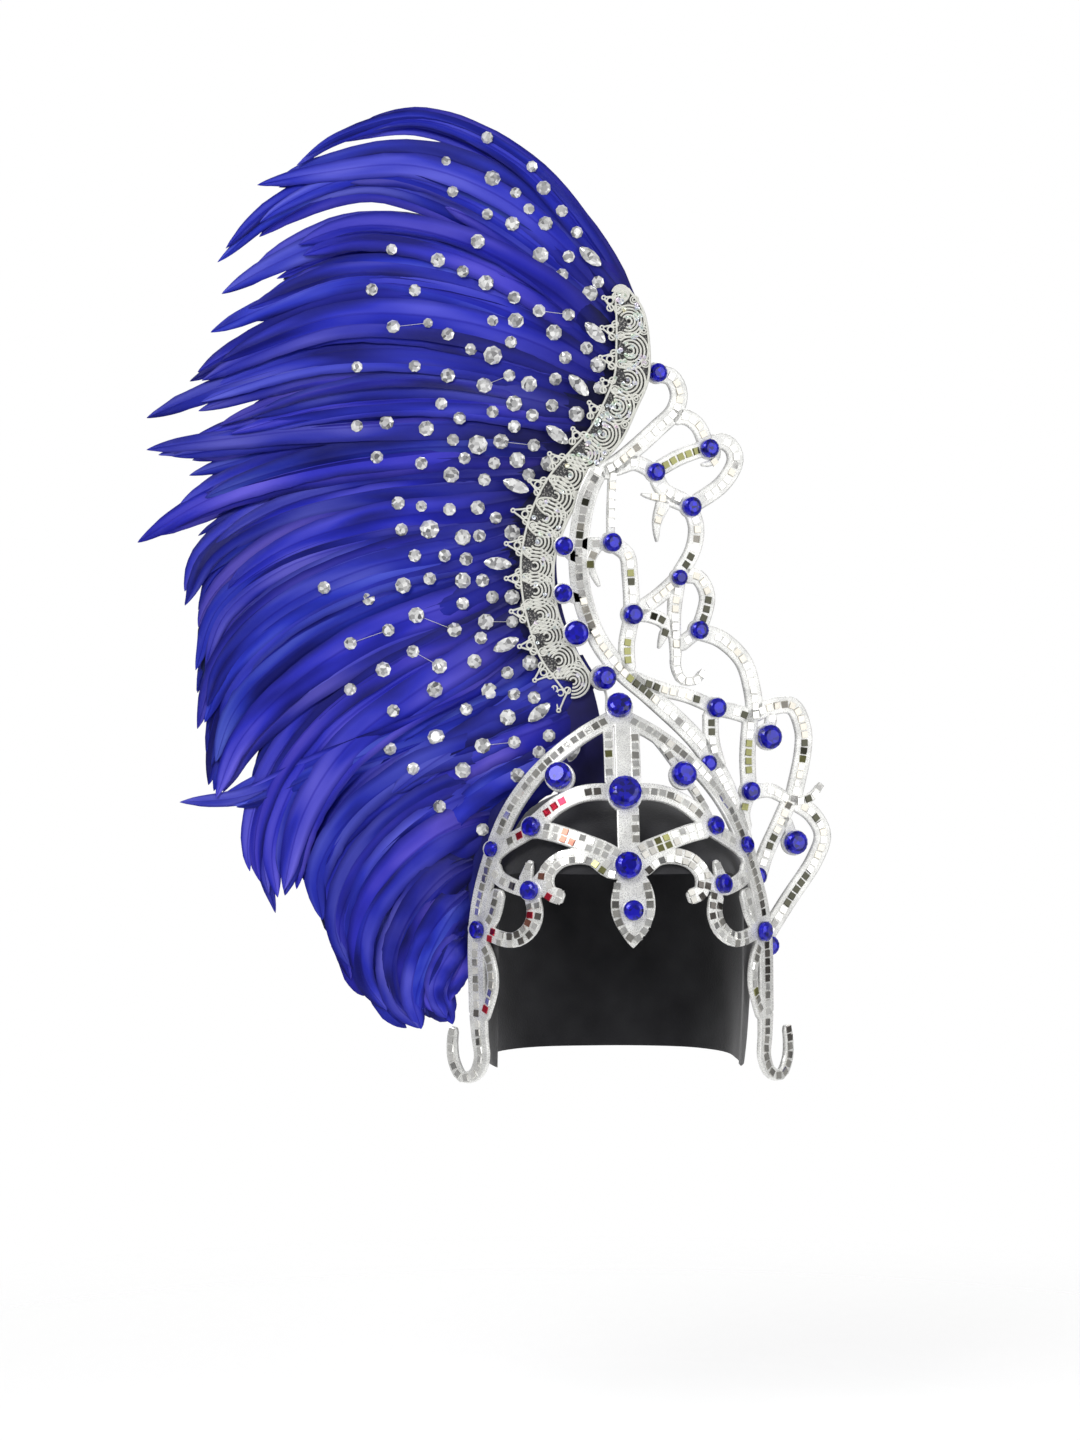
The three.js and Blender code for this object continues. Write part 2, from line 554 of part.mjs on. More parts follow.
// A cut stone: flat back, straight girdle, slanted facets and a table, its front along its own +Y.
function cutStone(radius, girdle = STONE_GIRDLE) {
  const height = STONE_HEIGHT * radius;
  const profile = [[0, 0], [radius, 0], [STONE_TABLE * radius, height], [0, height]];
  if (girdle > 0) profile.splice(2, 0, [radius, girdle * radius]);
  return new THREE.LatheGeometry(profile.map(([r, h]) => new THREE.Vector2(r, h)), STONE_SIDES);
}

// The way a surface faces at a place, worked out from its depth just beside it.
function facing(depth, x, z) {
  const step = 0.5;
  const slopeX = (depth(x + step, z) - depth(x - step, z)) / (2 * step);
  const slopeZ = (depth(x, z + step) - depth(x, z - step)) / (2 * step);
  return new THREE.Vector3(slopeX, -1, slopeZ).normalize();
}

// Seats a stone on the front of a plate whose back is the given surface, clear of it all round its rim.
function seat(object, depth, thickness, x, z, radius) {
  const normal = facing(depth, x, z);
  const front = (px, pz) => new THREE.Vector3(px, depth(px, pz) - thickness, pz - SEAT_HEIGHT);
  const middle = front(x, z);
  object.quaternion.setFromUnitVectors(new THREE.Vector3(0, 1, 0), normal);
  let lift = 0;
  for (let i = 0; i < STONE_SIDES; i++) {
    const angle = (2 * Math.PI * i) / STONE_SIDES;
    const rim = new THREE.Vector3(radius * Math.cos(angle), 0, radius * Math.sin(angle));
    rim.applyQuaternion(object.quaternion).add(middle);
    lift = Math.max(lift, front(rim.x, rim.z + SEAT_HEIGHT).sub(middle).dot(normal));
  }
  object.position.copy(middle).addScaledVector(normal, lift + GAP);
  return object;
}

function nearestRoot(x, z) {
  const roots = centreLine(FIELD_STRIP).getSpacedPoints(40);
  const away = (root) => Math.hypot(root.x - x, root.y - z);
  return roots.reduce((best, root) => (away(root) < away(best) ? root : best));
}

function fieldGeometry() {
  const strip = stroke({ line: FIELD_STRIP, width: 3 }, THREAD_THICKNESS);
  const stones = [];
  const threads = [strip];
  const addStone = (x, z, turn, scale) => {
    const root = nearestRoot(x, z);
    const line = [[root.x, root.y], [x, z]];
    threads.push(stroke({ line, width: THREAD_WIDTH, spacing: THREAD_SPACING }, THREAD_THICKNESS));
    const stone = new THREE.Mesh(cutStone(ROUND_RADIUS, 0));
    stone.geometry.scale(...scale).rotateY(THREE.MathUtils.degToRad(turn));
    seat(stone, fieldBack, THREAD_THICKNESS - 2 * GAP, x, z, 0).updateMatrixWorld();
    stones.push(toSolid(stone.geometry.applyMatrix4(stone.matrixWorld)));
  };
  ROUND_STONES.forEach(([x, z]) => addStone(x, z, 0, [1, 1, 1]));
  const long = MARQUISE_LENGTH / 2 / ROUND_RADIUS;
  const wide = MARQUISE_WIDTH / 2 / ROUND_RADIUS;
  MARQUISES.forEach(({ x, z, turn }) => addStone(x, z, turn, [long, 1, wide]));
  const net = toSolid(standUp(refine(toGeometry(joined(threads)), FIELD_STEP), fieldBack));
  return toGeometry(joined([net, ...stones]).subtract(crestBoard(GAP)));
}

// The headdress, one named mesh a piece.
const headdress = new THREE.Group();

function addPiece(name, geometry, look) {
  const mesh = new THREE.Mesh(geometry, look);
  mesh.name = name;
  headdress.add(mesh);
  return mesh;
}

function addStones(prefix, stones, depth, thickness) {
  stones.forEach(({ x, z, radius }, i) => {
    const name = `${prefix}_${String(i + 1).padStart(2, '0')}`;
    seat(addPiece(name, cutStone(radius), stoneLook), depth, thickness, x, z, radius);
  });
}

const feltLook = material(0x1b1b20, 0.95, 0);
const mirrorLook = material(0xc9c9c6, 0.25, 0.7);
const velvetLook = material(0x0c0d33, 0.9, 0);
const laceLook = material(0xd5d6cf, 0.4, 0.4);
const featherLook = material(0x2420a0, 0.5, 0);
const stoneLook = material(0x10209c, 0.08, 0.1);
const crystalLook = material(0xe6e8ea, 0.05, 0.3);

addPiece('cap', capGeometry(), feltLook);
addPiece('tiara', tiaraGeometry(), mirrorLook);
addPiece('filigree_wing', wingGeometry(), mirrorLook);
addPiece('crest_plate', toGeometry(crestBoard(0).subtract(capClearance)), velvetLook);
addPiece('lace_trim', laceGeometry(), laceLook);
addPiece('feathers_top', feathersGeometry(TOP_LOCKS, TOP_STRIP, 0), featherLook);
addPiece('feathers_side', feathersGeometry(SIDE_LOCKS, SIDE_STRIP, 2), featherLook);
addPiece('feathers_low', feathersGeometry(LOW_LOCKS, LOW_STRIP, 0), featherLook);
addPiece('rhinestone_field', fieldGeometry(), crystalLook);
addStones('tiara_stone', TIARA_STONES, tiaraBack, TIARA_THICKNESS);
addStones('wing_stone', WING_STONES, wingBack, WING_THICKNESS);

export default headdress;
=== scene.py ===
# %% [markdown]
# A showgirl headdress has hard parts, a mirrored tiara and scroll wing, and soft parts, feathers, lace and
# felt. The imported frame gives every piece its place. It could be measured from the picture again, but the
# frame is already exact, so each new piece below is laid on the same surfaces as its solid.

# %% Load the frame
import math

import bpy
import numpy as np
from mathutils import Matrix, Quaternion, Vector


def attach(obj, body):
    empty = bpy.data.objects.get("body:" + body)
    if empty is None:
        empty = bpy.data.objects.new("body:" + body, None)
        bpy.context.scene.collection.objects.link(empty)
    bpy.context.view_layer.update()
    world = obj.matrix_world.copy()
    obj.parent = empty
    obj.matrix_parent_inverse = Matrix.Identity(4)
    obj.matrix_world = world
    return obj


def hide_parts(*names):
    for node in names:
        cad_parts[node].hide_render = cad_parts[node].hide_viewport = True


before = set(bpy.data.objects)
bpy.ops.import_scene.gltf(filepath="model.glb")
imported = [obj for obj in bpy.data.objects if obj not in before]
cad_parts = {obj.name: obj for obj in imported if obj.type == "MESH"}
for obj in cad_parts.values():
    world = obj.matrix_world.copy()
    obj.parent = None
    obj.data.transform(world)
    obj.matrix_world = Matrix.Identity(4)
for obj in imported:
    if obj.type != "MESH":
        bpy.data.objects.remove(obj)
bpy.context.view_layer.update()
MM = 0.001
SEAT_HEIGHT = 36
rng = np.random.default_rng(11)


def deselect_all():
    for thing in list(bpy.context.selected_objects):
        thing.select_set(False)


def pick(thing):
    deselect_all()
    thing.select_set(True)
    bpy.context.view_layer.objects.active = thing
    return thing


# %% [markdown]
# The camera stands level, two metres away and a little to the left of the front. It could orbit by eye, but
# a named place keeps the same framing in every render.

# %% Camera
CAMERA_TARGET = Vector((-0.0459, 0.0, 0.0434))
CAMERA_DISTANCE = 2.0
CAMERA_TURN = math.radians(-3)
CAMERA_LENS = 80.65
camera_data = bpy.data.cameras.new("camera")
camera_data.lens = CAMERA_LENS
camera_data.sensor_width = 36
camera = bpy.data.objects.new("camera", camera_data)
bpy.context.scene.collection.objects.link(camera)
camera.location = CAMERA_TARGET + CAMERA_DISTANCE * Vector((math.sin(CAMERA_TURN), -math.cos(CAMERA_TURN), 0))
camera.rotation_euler = (math.radians(90), 0, CAMERA_TURN)
bpy.context.scene.camera = camera
print("camera at", camera.location)


# %% [markdown]
# Mirrors and cut stones show the room around them, so the room needs light and dark. A flat white world
# would leave the tiles grey. The camera sees plain white, and every other ray sees soft bands of light and
# shade.

# %% World and lights
WORLD_WHITE = (1.0, 1.0, 1.0, 1.0)
WORLD_SHADE = (0.07, 0.07, 0.075, 1.0)
WORLD_STRENGTH = 0.55
BAND_SCALE = 4.5
SHADE_ENDS, WHITE_STARTS = 0.38, 0.56
world = bpy.data.worlds.new("studio")
bpy.context.scene.world = world
world.use_nodes = True
sky = world.node_tree
sky.nodes.clear()
out = sky.nodes.new("ShaderNodeOutputWorld")
seen = sky.nodes.new("ShaderNodeBackground")
seen.inputs["Color"].default_value = WORLD_WHITE
lit = sky.nodes.new("ShaderNodeBackground")
lit.inputs["Strength"].default_value = WORLD_STRENGTH
mix = sky.nodes.new("ShaderNodeMixShader")
path = sky.nodes.new("ShaderNodeLightPath")
coordinate = sky.nodes.new("ShaderNodeTexCoord")
bands = sky.nodes.new("ShaderNodeTexNoise")
bands.inputs["Scale"].default_value = BAND_SCALE
bands.inputs["Detail"].default_value = 3
ramp = sky.nodes.new("ShaderNodeValToRGB")
ramp.color_ramp.elements[0].position = SHADE_ENDS
ramp.color_ramp.elements[0].color = WORLD_SHADE
ramp.color_ramp.elements[1].position = WHITE_STARTS
ramp.color_ramp.elements[1].color = WORLD_WHITE
sky.links.new(coordinate.outputs["Generated"], bands.inputs["Vector"])
sky.links.new(bands.outputs["Fac"], ramp.inputs["Fac"])
sky.links.new(ramp.outputs["Color"], lit.inputs["Color"])
sky.links.new(path.outputs["Is Camera Ray"], mix.inputs["Fac"])
sky.links.new(lit.outputs[0], mix.inputs[1])
sky.links.new(seen.outputs[0], mix.inputs[2])
sky.links.new(mix.outputs[0], out.inputs["Surface"])
bpy.context.scene.view_settings.view_transform = "Standard"

# Place, size in metres and power of each soft light, all turned to the headdress.
LIGHTS = [
    {"name": "key", "at": (-1.3, -1.9, 1.5), "size": 1.2, "power": 31},
    {"name": "fill", "at": (1.6, -1.7, 0.5), "size": 2.2, "power": 24},
    {"name": "rim", "at": (0.4, 1.7, 1.6), "size": 1.0, "power": 14},
]
for row in LIGHTS:
    lamp_data = bpy.data.lights.new(row["name"], "AREA")
    lamp_data.size = row["size"]
    lamp_data.energy = row["power"]
    lamp = bpy.data.objects.new(row["name"], lamp_data)
    bpy.context.scene.collection.objects.link(lamp)
    lamp.location = row["at"]
    lamp.rotation_euler = (CAMERA_TARGET - lamp.location).to_track_quat("-Z", "Y").to_euler()
print("lights", [row["name"] for row in LIGHTS])


# %% [markdown]
# A worn part has no table under it when it is held up. A pale floor well below it still catches a soft
# shadow, and its rim fades out, so that no edge line crosses the picture.

# %% Floor
FLOOR_HEIGHT = -0.42
FLOOR_RADIUS = 2.6
FADE_STARTS, FADE_ENDS = 0.2, 0.9
deselect_all()
bpy.ops.mesh.primitive_circle_add(
    vertices=96, radius=FLOOR_RADIUS, fill_type="NGON", location=(0, 0, FLOOR_HEIGHT)
)
floor = bpy.context.object
floor.name = "floor"
floor_look = bpy.data.materials.new("pale_floor")
floor_look.use_nodes = True
floor_tree = floor_look.node_tree
floor_shader = floor_tree.nodes["Principled BSDF"]
floor_shader.inputs["Base Color"].default_value = (0.93, 0.93, 0.93, 1)
floor_shader.inputs["Roughness"].default_value = 0.8
floor_shader.inputs["Emission Color"].default_value = (1, 1, 1, 1)
floor_shader.inputs["Emission Strength"].default_value = 0.3
floor_place = floor_tree.nodes.new("ShaderNodeTexCoord")
floor_reach = floor_tree.nodes.new("ShaderNodeVectorMath")
floor_reach.operation = "LENGTH"
floor_fade = floor_tree.nodes.new("ShaderNodeMapRange")
floor_fade.inputs["From Min"].default_value = FADE_STARTS
floor_fade.inputs["From Max"].default_value = FADE_ENDS
floor_fade.inputs["To Min"].default_value = 1
floor_fade.inputs["To Max"].default_value = 0
floor_tree.links.new(floor_place.outputs["Object"], floor_reach.inputs[0])
floor_tree.links.new(floor_reach.outputs["Value"], floor_fade.inputs["Value"])
floor_tree.links.new(floor_fade.outputs["Result"], floor_shader.inputs["Alpha"])
floor.data.materials.append(floor_look)
print("floor at", FLOOR_HEIGHT)


# %% [markdown]
# Every finish here starts as one Principled shader with a texture for its grain. Small helpers keep each
# recipe to the few lines that make it different: where its pattern is read, and what it drives.

# %% Material helpers
def finish_of(name, color, roughness, metallic=0.0, **sockets):
    look = bpy.data.materials.new(name)
    look.use_nodes = True
    shader = look.node_tree.nodes["Principled BSDF"]
    shader.inputs["Base Color"].default_value = (*color, 1)
    shader.inputs["Roughness"].default_value = roughness
    shader.inputs["Metallic"].default_value = metallic
    for socket, value in sockets.items():
        shader.inputs[socket.replace("_", " ")].default_value = value
    return look, look.node_tree, shader


def texture(tree, kind, scale, source="Object", **sockets):
    place = tree.nodes.new("ShaderNodeTexCoord")
    grain = tree.nodes.new(kind)
    grain.inputs["Scale"].default_value = scale
    for socket, value in sockets.items():
        grain.inputs[socket].default_value = value
    tree.links.new(place.outputs[source], grain.inputs["Vector"])
    return grain


def ramp_of(tree, source, stops):
    ramp = tree.nodes.new("ShaderNodeValToRGB")
    while len(ramp.color_ramp.elements) < len(stops):
        ramp.color_ramp.elements.new(0.5)
    for element, (position, color) in zip(ramp.color_ramp.elements, stops):
        element.position = position
        element.color = (*color, 1)
    tree.links.new(source, ramp.inputs["Fac"])
    return ramp


def bump(tree, shader, height, strength, distance):
    relief = tree.nodes.new("ShaderNodeBump")
    relief.inputs["Strength"].default_value = strength
    relief.inputs["Distance"].default_value = distance
    tree.links.new(height, relief.inputs["Height"])
    tree.links.new(relief.outputs["Normal"], shader.inputs["Normal"])
    return relief


def attribute(tree, name):
    reader = tree.nodes.new("ShaderNodeAttribute")
    reader.attribute_name = name
    return reader


print("helpers ready")


# %% [markdown]
# Silver glitter is thousands of flakes, each tilted its own way. Modelling them would take millions of
# faces, so a fine cell texture gives each flake its own height and shine.

# %% Silver glitter
def make_glitter():
    look, tree, shader = finish_of("silver_glitter", (0.80, 0.80, 0.78), 0.3, 0.35)
    flakes = texture(tree, "ShaderNodeTexVoronoi", 1900)
    clouds = texture(tree, "ShaderNodeTexNoise", 90)
    tint = ramp_of(tree, clouds.outputs["Fac"], [(0.35, (0.74, 0.74, 0.72)), (0.65, (0.98, 0.98, 0.95))])
    sparkle = ramp_of(tree, flakes.outputs["Color"], [(0.0, (0.12,) * 3), (1.0, (0.55,) * 3)])
    tree.links.new(tint.outputs["Color"], shader.inputs["Base Color"])
    tree.links.new(sparkle.outputs["Color"], shader.inputs["Roughness"])
    bump(tree, shader, flakes.outputs["Color"], 0.55, 0.0004)
    return look


glitter = make_glitter()
print(glitter.name)


# %% [markdown]
# Mirror tiles are cut glass squares, most of them silver and a few olive, brown or red. One material serves
# them all: each tile carries its own tint as a colour attribute.

# %% Mirror tiles
def make_mirror():
    look, tree, shader = finish_of("mirror_tile", (0.9, 0.9, 0.88), 0.06, 0.82)
    tint = attribute(tree, "tint")
    wear = texture(tree, "ShaderNodeTexNoise", 220)
    smear = ramp_of(tree, wear.outputs["Fac"], [(0.4, (0.05,) * 3), (0.7, (0.18,) * 3)])
    tree.links.new(tint.outputs["Color"], shader.inputs["Base Color"])
    tree.links.new(smear.outputs["Color"], shader.inputs["Roughness"])
    return look


mirror = make_mirror()
print(mirror.name)


# %% [markdown]
# The blue stones are foil-backed glass: deep royal blue, and bright where a facet meets a light. A fine cell
# pattern paints light and dark specks into the colour, and the stones glow a little with it: painted sparkle,
# not lamplight.
# Clear crystals are made the same way with a silver foil. True refraction would be slow and noisy at this
# size.

# %% Stones' finishes
def make_gem(name, dark, bright, roughness, metallic, coat, painted_sparkle_glow):
    look, tree, shader = finish_of(name, bright, roughness, metallic, Coat_Weight=coat, Coat_Roughness=0.03)
    # Painted sparkle: light and dark specks from a fine cell pattern, painted into the colour.
    depth = texture(tree, "ShaderNodeTexVoronoi", 420)
    shade = ramp_of(tree, depth.outputs["Color"], [(0.1, dark), (0.9, bright)])
    tree.links.new(shade.outputs["Color"], shader.inputs["Base Color"])
    # The same specks glow faintly, as painted sparkle; the stones are no lamps.
    tree.links.new(shade.outputs["Color"], shader.inputs["Emission Color"])
    shader.inputs["Emission Strength"].default_value = painted_sparkle_glow
    return look


blue_glass = make_gem("blue_glass", (0.001, 0.001, 0.09), (0.006, 0.004, 0.58), 0.18, 0.35, 0.4, 0.14)
crystal = make_gem("clear_crystal", (0.16, 0.16, 0.17), (1.0, 1.0, 0.99), 0.10, 0.40, 0.8, 0.20)
print(blue_glass.name, crystal.name)


# %% [markdown]
# Felt, velvet and lace are all fibres. Felt is a matt mat of them, velvet stands on end and shines at its
# edges, and lace cord is twisted, so its relief follows the cord's own UV map.

# %% Cloth finishes
def make_felt():
    look, tree, shader = finish_of("dark_felt", (0.02, 0.02, 0.024), 0.95, Sheen_Weight=0.35)
    fibres = texture(tree, "ShaderNodeTexNoise", 900, Detail=6)
    # Large light and dark patches painted into the colour: the painted shade and sheen of folds.
    painted_fold_shade = texture(tree, "ShaderNodeTexNoise", 26)
    tint = ramp_of(tree, painted_fold_shade.outputs["Fac"], [(0.3, (0.008, 0.008, 0.011)), (0.75, (0.040, 0.040, 0.045))])
    tree.links.new(tint.outputs["Color"], shader.inputs["Base Color"])
    bump(tree, shader, fibres.outputs["Fac"], 0.35, 0.0006)
    return look


def make_velvet():
    look, tree, shader = finish_of("navy_velvet", (0.008, 0.008, 0.07), 0.9, Sheen_Weight=0.6)
    shader.inputs["Sheen Tint"].default_value = (0.12, 0.10, 0.6, 1)
    pile = texture(tree, "ShaderNodeTexNoise", 1400, Detail=4)
    patches = texture(tree, "ShaderNodeTexNoise", 38)
    tint = ramp_of(tree, patches.outputs["Fac"], [(0.3, (0.006, 0.005, 0.05)), (0.7, (0.014, 0.012, 0.13))])
    tree.links.new(tint.outputs["Color"], shader.inputs["Base Color"])
    bump(tree, shader, pile.outputs["Fac"], 0.3, 0.0004)
    return look


def make_cord():
    look, tree, shader = finish_of("silver_cord", (0.85, 0.86, 0.78), 0.38, 0.15)
    twist = texture(tree, "ShaderNodeTexWave", 1.0, "UV", Distortion=0.5)
    twist.bands_direction = "DIAGONAL"
    # The grooves of the twist, where the bump is low, are painted darker: painted shade in the grooves.
    shade = ramp_of(tree, twist.outputs["Fac"], [(0.0, (0.72, 0.72, 0.64)), (0.6, (1.0, 1.0, 0.94))])
    tree.links.new(shade.outputs["Color"], shader.inputs["Base Color"])
    bump(tree, shader, twist.outputs["Fac"], 0.6, 0.0003)
    return look


def make_net():
    look, tree, shader = finish_of("lace_ground", (0.78, 0.76, 0.74), 0.5, 0.2)
    weave = texture(tree, "ShaderNodeTexVoronoi", 900)
    shade = ramp_of(tree, weave.outputs["Distance"], [(0.1, (0.50, 0.49, 0.46)), (0.5, (0.05, 0.05, 0.055))])
    tree.links.new(shade.outputs["Color"], shader.inputs["Base Color"])
    bump(tree, shader, weave.outputs["Distance"], 0.7, 0.0004)
    return look


def make_sequin():
    look, tree, shader = finish_of("pale_sequin", (0.86, 0.82, 0.88), 0.16, 0.35, Coat_Weight=0.6)
    hue = texture(tree, "ShaderNodeTexNoise", 120, Detail=1)
    pink, lilac, green, gold = (0.93, 0.72, 0.83), (0.80, 0.80, 0.97), (0.78, 0.93, 0.80), (0.95, 0.87, 0.62)
    pearl = ramp_of(tree, hue.outputs["Fac"], [(0.25, pink), (0.42, lilac), (0.58, green), (0.75, gold)])
    tree.links.new(pearl.outputs["Color"], shader.inputs["Base Color"])
    return look


felt, velvet, cord_silver, net, sequin = make_felt(), make_velvet(), make_cord(), make_net(), make_sequin()
print(felt.name, velvet.name, cord_silver.name, net.name, sequin.name)


# %% [markdown]
# A dyed cock feather is satin: barbs run slanting off the shaft. Its colour carries painted light: violet
# streaks of painted highlight with painted shade between them, and painted shade at the root, where the lace
# covers it, and along both edges. The barbs are a wave on the feather's own UV map, so they bend with it.

# %% Feather finish
BARB_WAVES = 42
BARB_SLANT = -0.55
# Stretch and per-plume shift of the streaks of painted highlight and painted shade.
LIGHT_STREAK_STRETCH = (3.2, 0.55, 1.0)
LIGHT_STREAK_SHIFT = (40, 40, 40)


def make_feather():
    look, tree, shader = finish_of("royal_feather", (0.05, 0.045, 0.55), 0.38)
    shader.inputs["Specular Tint"].default_value = (0.45, 0.45, 1.0, 1)
    place = tree.nodes.new("ShaderNodeTexCoord")
    split = tree.nodes.new("ShaderNodeSeparateXYZ")
    tree.links.new(place.outputs["UV"], split.inputs[0])
    side = tree.nodes.new("ShaderNodeMath")
    side.operation = "ABSOLUTE"
    tree.links.new(split.outputs["Y"], side.inputs[0])
    slant = tree.nodes.new("ShaderNodeMath")
    slant.operation = "MULTIPLY_ADD"
    tree.links.new(side.outputs[0], slant.inputs[0])
    slant.inputs[1].default_value = BARB_SLANT
    tree.links.new(split.outputs["X"], slant.inputs[2])
    barb_place = tree.nodes.new("ShaderNodeCombineXYZ")
    tree.links.new(slant.outputs[0], barb_place.inputs["X"])
    barbs = tree.nodes.new("ShaderNodeTexWave")
    barbs.inputs["Scale"].default_value = BARB_WAVES
    barbs.inputs["Distortion"].default_value = 0.6
    barbs.inputs["Detail"].default_value = 2
    tree.links.new(barb_place.outputs[0], barbs.inputs["Vector"])
    light_streak_place = tree.nodes.new("ShaderNodeMapping")
    light_streak_place.inputs["Scale"].default_value = LIGHT_STREAK_STRETCH
    tree.links.new(place.outputs["UV"], light_streak_place.inputs["Vector"])
    # The tint attribute carries each plume's own tone, and the painted shade of the dark plumes underneath.
    tone = attribute(tree, "tint")
    own_place = tree.nodes.new("ShaderNodeVectorMath")
    own_place.operation = "MULTIPLY_ADD"
    own_place.inputs[1].default_value = LIGHT_STREAK_SHIFT
    tree.links.new(tone.outputs["Color"], own_place.inputs[0])
    tree.links.new(light_streak_place.outputs[0], own_place.inputs[2])
    painted_light_streaks = tree.nodes.new("ShaderNodeTexNoise")
    painted_light_streaks.inputs["Scale"].default_value = 1.0
    painted_light_streaks.inputs["Detail"].default_value = 1.5
    tree.links.new(own_place.outputs[0], painted_light_streaks.inputs["Vector"])
    # Painted light: violet is a painted highlight along the ribbons, shadow is painted shade between them.
    shadow, royal, violet = (0.002, 0.003, 0.15), (0.019, 0.026, 0.46), (0.105, 0.110, 0.66)
    satin_light_and_shade = ramp_of(tree, painted_light_streaks.outputs["Fac"], [(0.30, shadow), (0.48, royal), (0.72, violet)])
    # Darker at the root: painted shade where the plume lies under the lace and its neighbours.
    dark, dim = (0.10, 0.06, 0.26), (0.8, 0.8, 0.95)
    root = ramp_of(tree, split.outputs["X"], [(0.0, dark), (0.30, dim), (0.5, (1, 1, 1))])
    # Darker at both edges: painted shade along the rim; the thin dim line in the middle is the shaft's own.
    shaft, plain, rim = (0.55, 0.52, 0.80), (1, 1, 1), (0.34, 0.34, 0.55)
    edge = ramp_of(tree, side.outputs[0], [(0.02, shaft), (0.10, plain), (0.60, plain), (0.98, rim)])
    for shade in (root, edge, tone):
        dyed = tree.nodes.new("ShaderNodeVectorMath")
        dyed.operation = "MULTIPLY"
        tree.links.new(satin_light_and_shade.outputs["Color"] if shade is root else last.outputs[0], dyed.inputs[0])
        tree.links.new(shade.outputs["Color"], dyed.inputs[1])
        last = dyed
    tree.links.new(last.outputs[0], shader.inputs["Base Color"])
    bump(tree, shader, barbs.outputs["Fac"], 0.22, 0.0003)
    return look


feather_blue = make_feather()
print(feather_blue.name)


# %% [markdown]
# Each plate of the headdress lies on a simple surface: depth worked out from the place seen from the front.
# The solids use the same three formulas, so the fine pieces land where the solids are.

# %% Surfaces
TIARA_THICKNESS = 3
WING_THICKNESS = 3
CREST_FRONT = -45
TIARA_HALF_WIDTH = 87
TIARA_FRONT = -98.5
FAN_REACH = 270


def tiara_back(x, z):
    side = 50 * (np.minimum(abs(x), TIARA_HALF_WIDTH) / TIARA_HALF_WIDTH) ** 2.6
    beyond = np.maximum(0, abs(x) - TIARA_HALF_WIDTH)
    rise = np.maximum(0, z + 50) / 137
    return TIARA_FRONT + side + beyond + 42 * rise ** 1.6


def wing_back(x, z):
    return CREST_FRONT - 2.2 + 0.35 * np.maximum(0, x + 15) + 0 * z


def fan_front(x, z):
    reach = np.hypot(np.minimum(0, x + 30), 0.8 * np.maximum(0, z - 330))
    return CREST_FRONT + 3.3 + 55 * (reach / FAN_REACH) ** 1.7


def flat_at(depth):
    return lambda x, z: depth + 0 * x


def smooth_line(points, count):
    """Evenly spaced points on a smooth line through the given ones."""
    knots = np.array(points, float)
    spans = np.concatenate([[0], np.cumsum(np.sqrt(np.linalg.norm(np.diff(knots, axis=0), axis=1)))])
    padded = np.vstack([2 * knots[0] - knots[1], knots, 2 * knots[-1] - knots[-2]])
    times = np.concatenate([[-spans[1]], spans, [2 * spans[-1] - spans[-2]]])
    fine = []
    for i in range(len(knots) - 1):
        for t in np.linspace(spans[i], spans[i + 1], 24, endpoint=False):
            fine.append(catmull(padded[i:i + 4], times[i:i + 4], t))
    fine.append(knots[-1])
    fine = np.array(fine)
    along = np.concatenate([[0], np.cumsum(np.linalg.norm(np.diff(fine, axis=0), axis=1))])
    even = np.linspace(0, along[-1], count)
    line = np.column_stack([np.interp(even, along, fine[:, k]) for k in range(2)])
    return line, along[-1]


def catmull(p, t, at):
    a = [((t[k + 1] - at) * p[k] + (at - t[k]) * p[k + 1]) / (t[k + 1] - t[k]) for k in range(3)]
    b = [((t[k + 2] - at) * a[k] + (at - t[k]) * a[k + 1]) / (t[k + 2] - t[k]) for k in range(2)]
    return ((t[2] - at) * b[0] + (at - t[1]) * b[1]) / (t[2] - t[1])


def line_length(points):
    return smooth_line(points, 2)[1]


def normals_of(line):
    tangent = np.gradient(line, axis=0)
    tangent /= np.linalg.norm(tangent, axis=1)[:, None]
    return tangent, np.column_stack([-tangent[:, 1], tangent[:, 0]])


print("tiara at the brow", round(float(tiara_back(0.0, 0.0)), 1), "mm")


# %% [markdown]
# A piece is finished when its mesh is whole, its faces point outwards, it has its material,
# and it rides on the object. Each of these is a short function that all pieces share, and the last one
# prints how many faces the piece has.

# %% Finishing a piece
def finish_piece(thing, name, look, nodes=()):
    thing.name = name
    thing.data.name = name
    thing.data.materials.clear()
    thing.data.materials.append(look)
    thing.data.update()
    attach(thing, "root")
    if nodes:
        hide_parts(*nodes)
    print(name, len(thing.data.polygons), "faces")
    return thing


def join_all(things):
    deselect_all()
    for thing in things:
        thing.select_set(True)
    bpy.context.view_layer.objects.active = things[0]
    if len(things) > 1:
        bpy.ops.object.join()
    return bpy.context.object


def outwards(thing):
    pick(thing)
    bpy.ops.object.mode_set(mode="EDIT")
    bpy.ops.mesh.select_all(action="SELECT")
    bpy.ops.mesh.normals_make_consistent(inside=False)
    bpy.ops.object.mode_set(mode="OBJECT")


def apply_all(thing):
    pick(thing)
    for modifier in list(thing.modifiers):
        bpy.ops.object.modifier_apply(modifier=modifier.name)


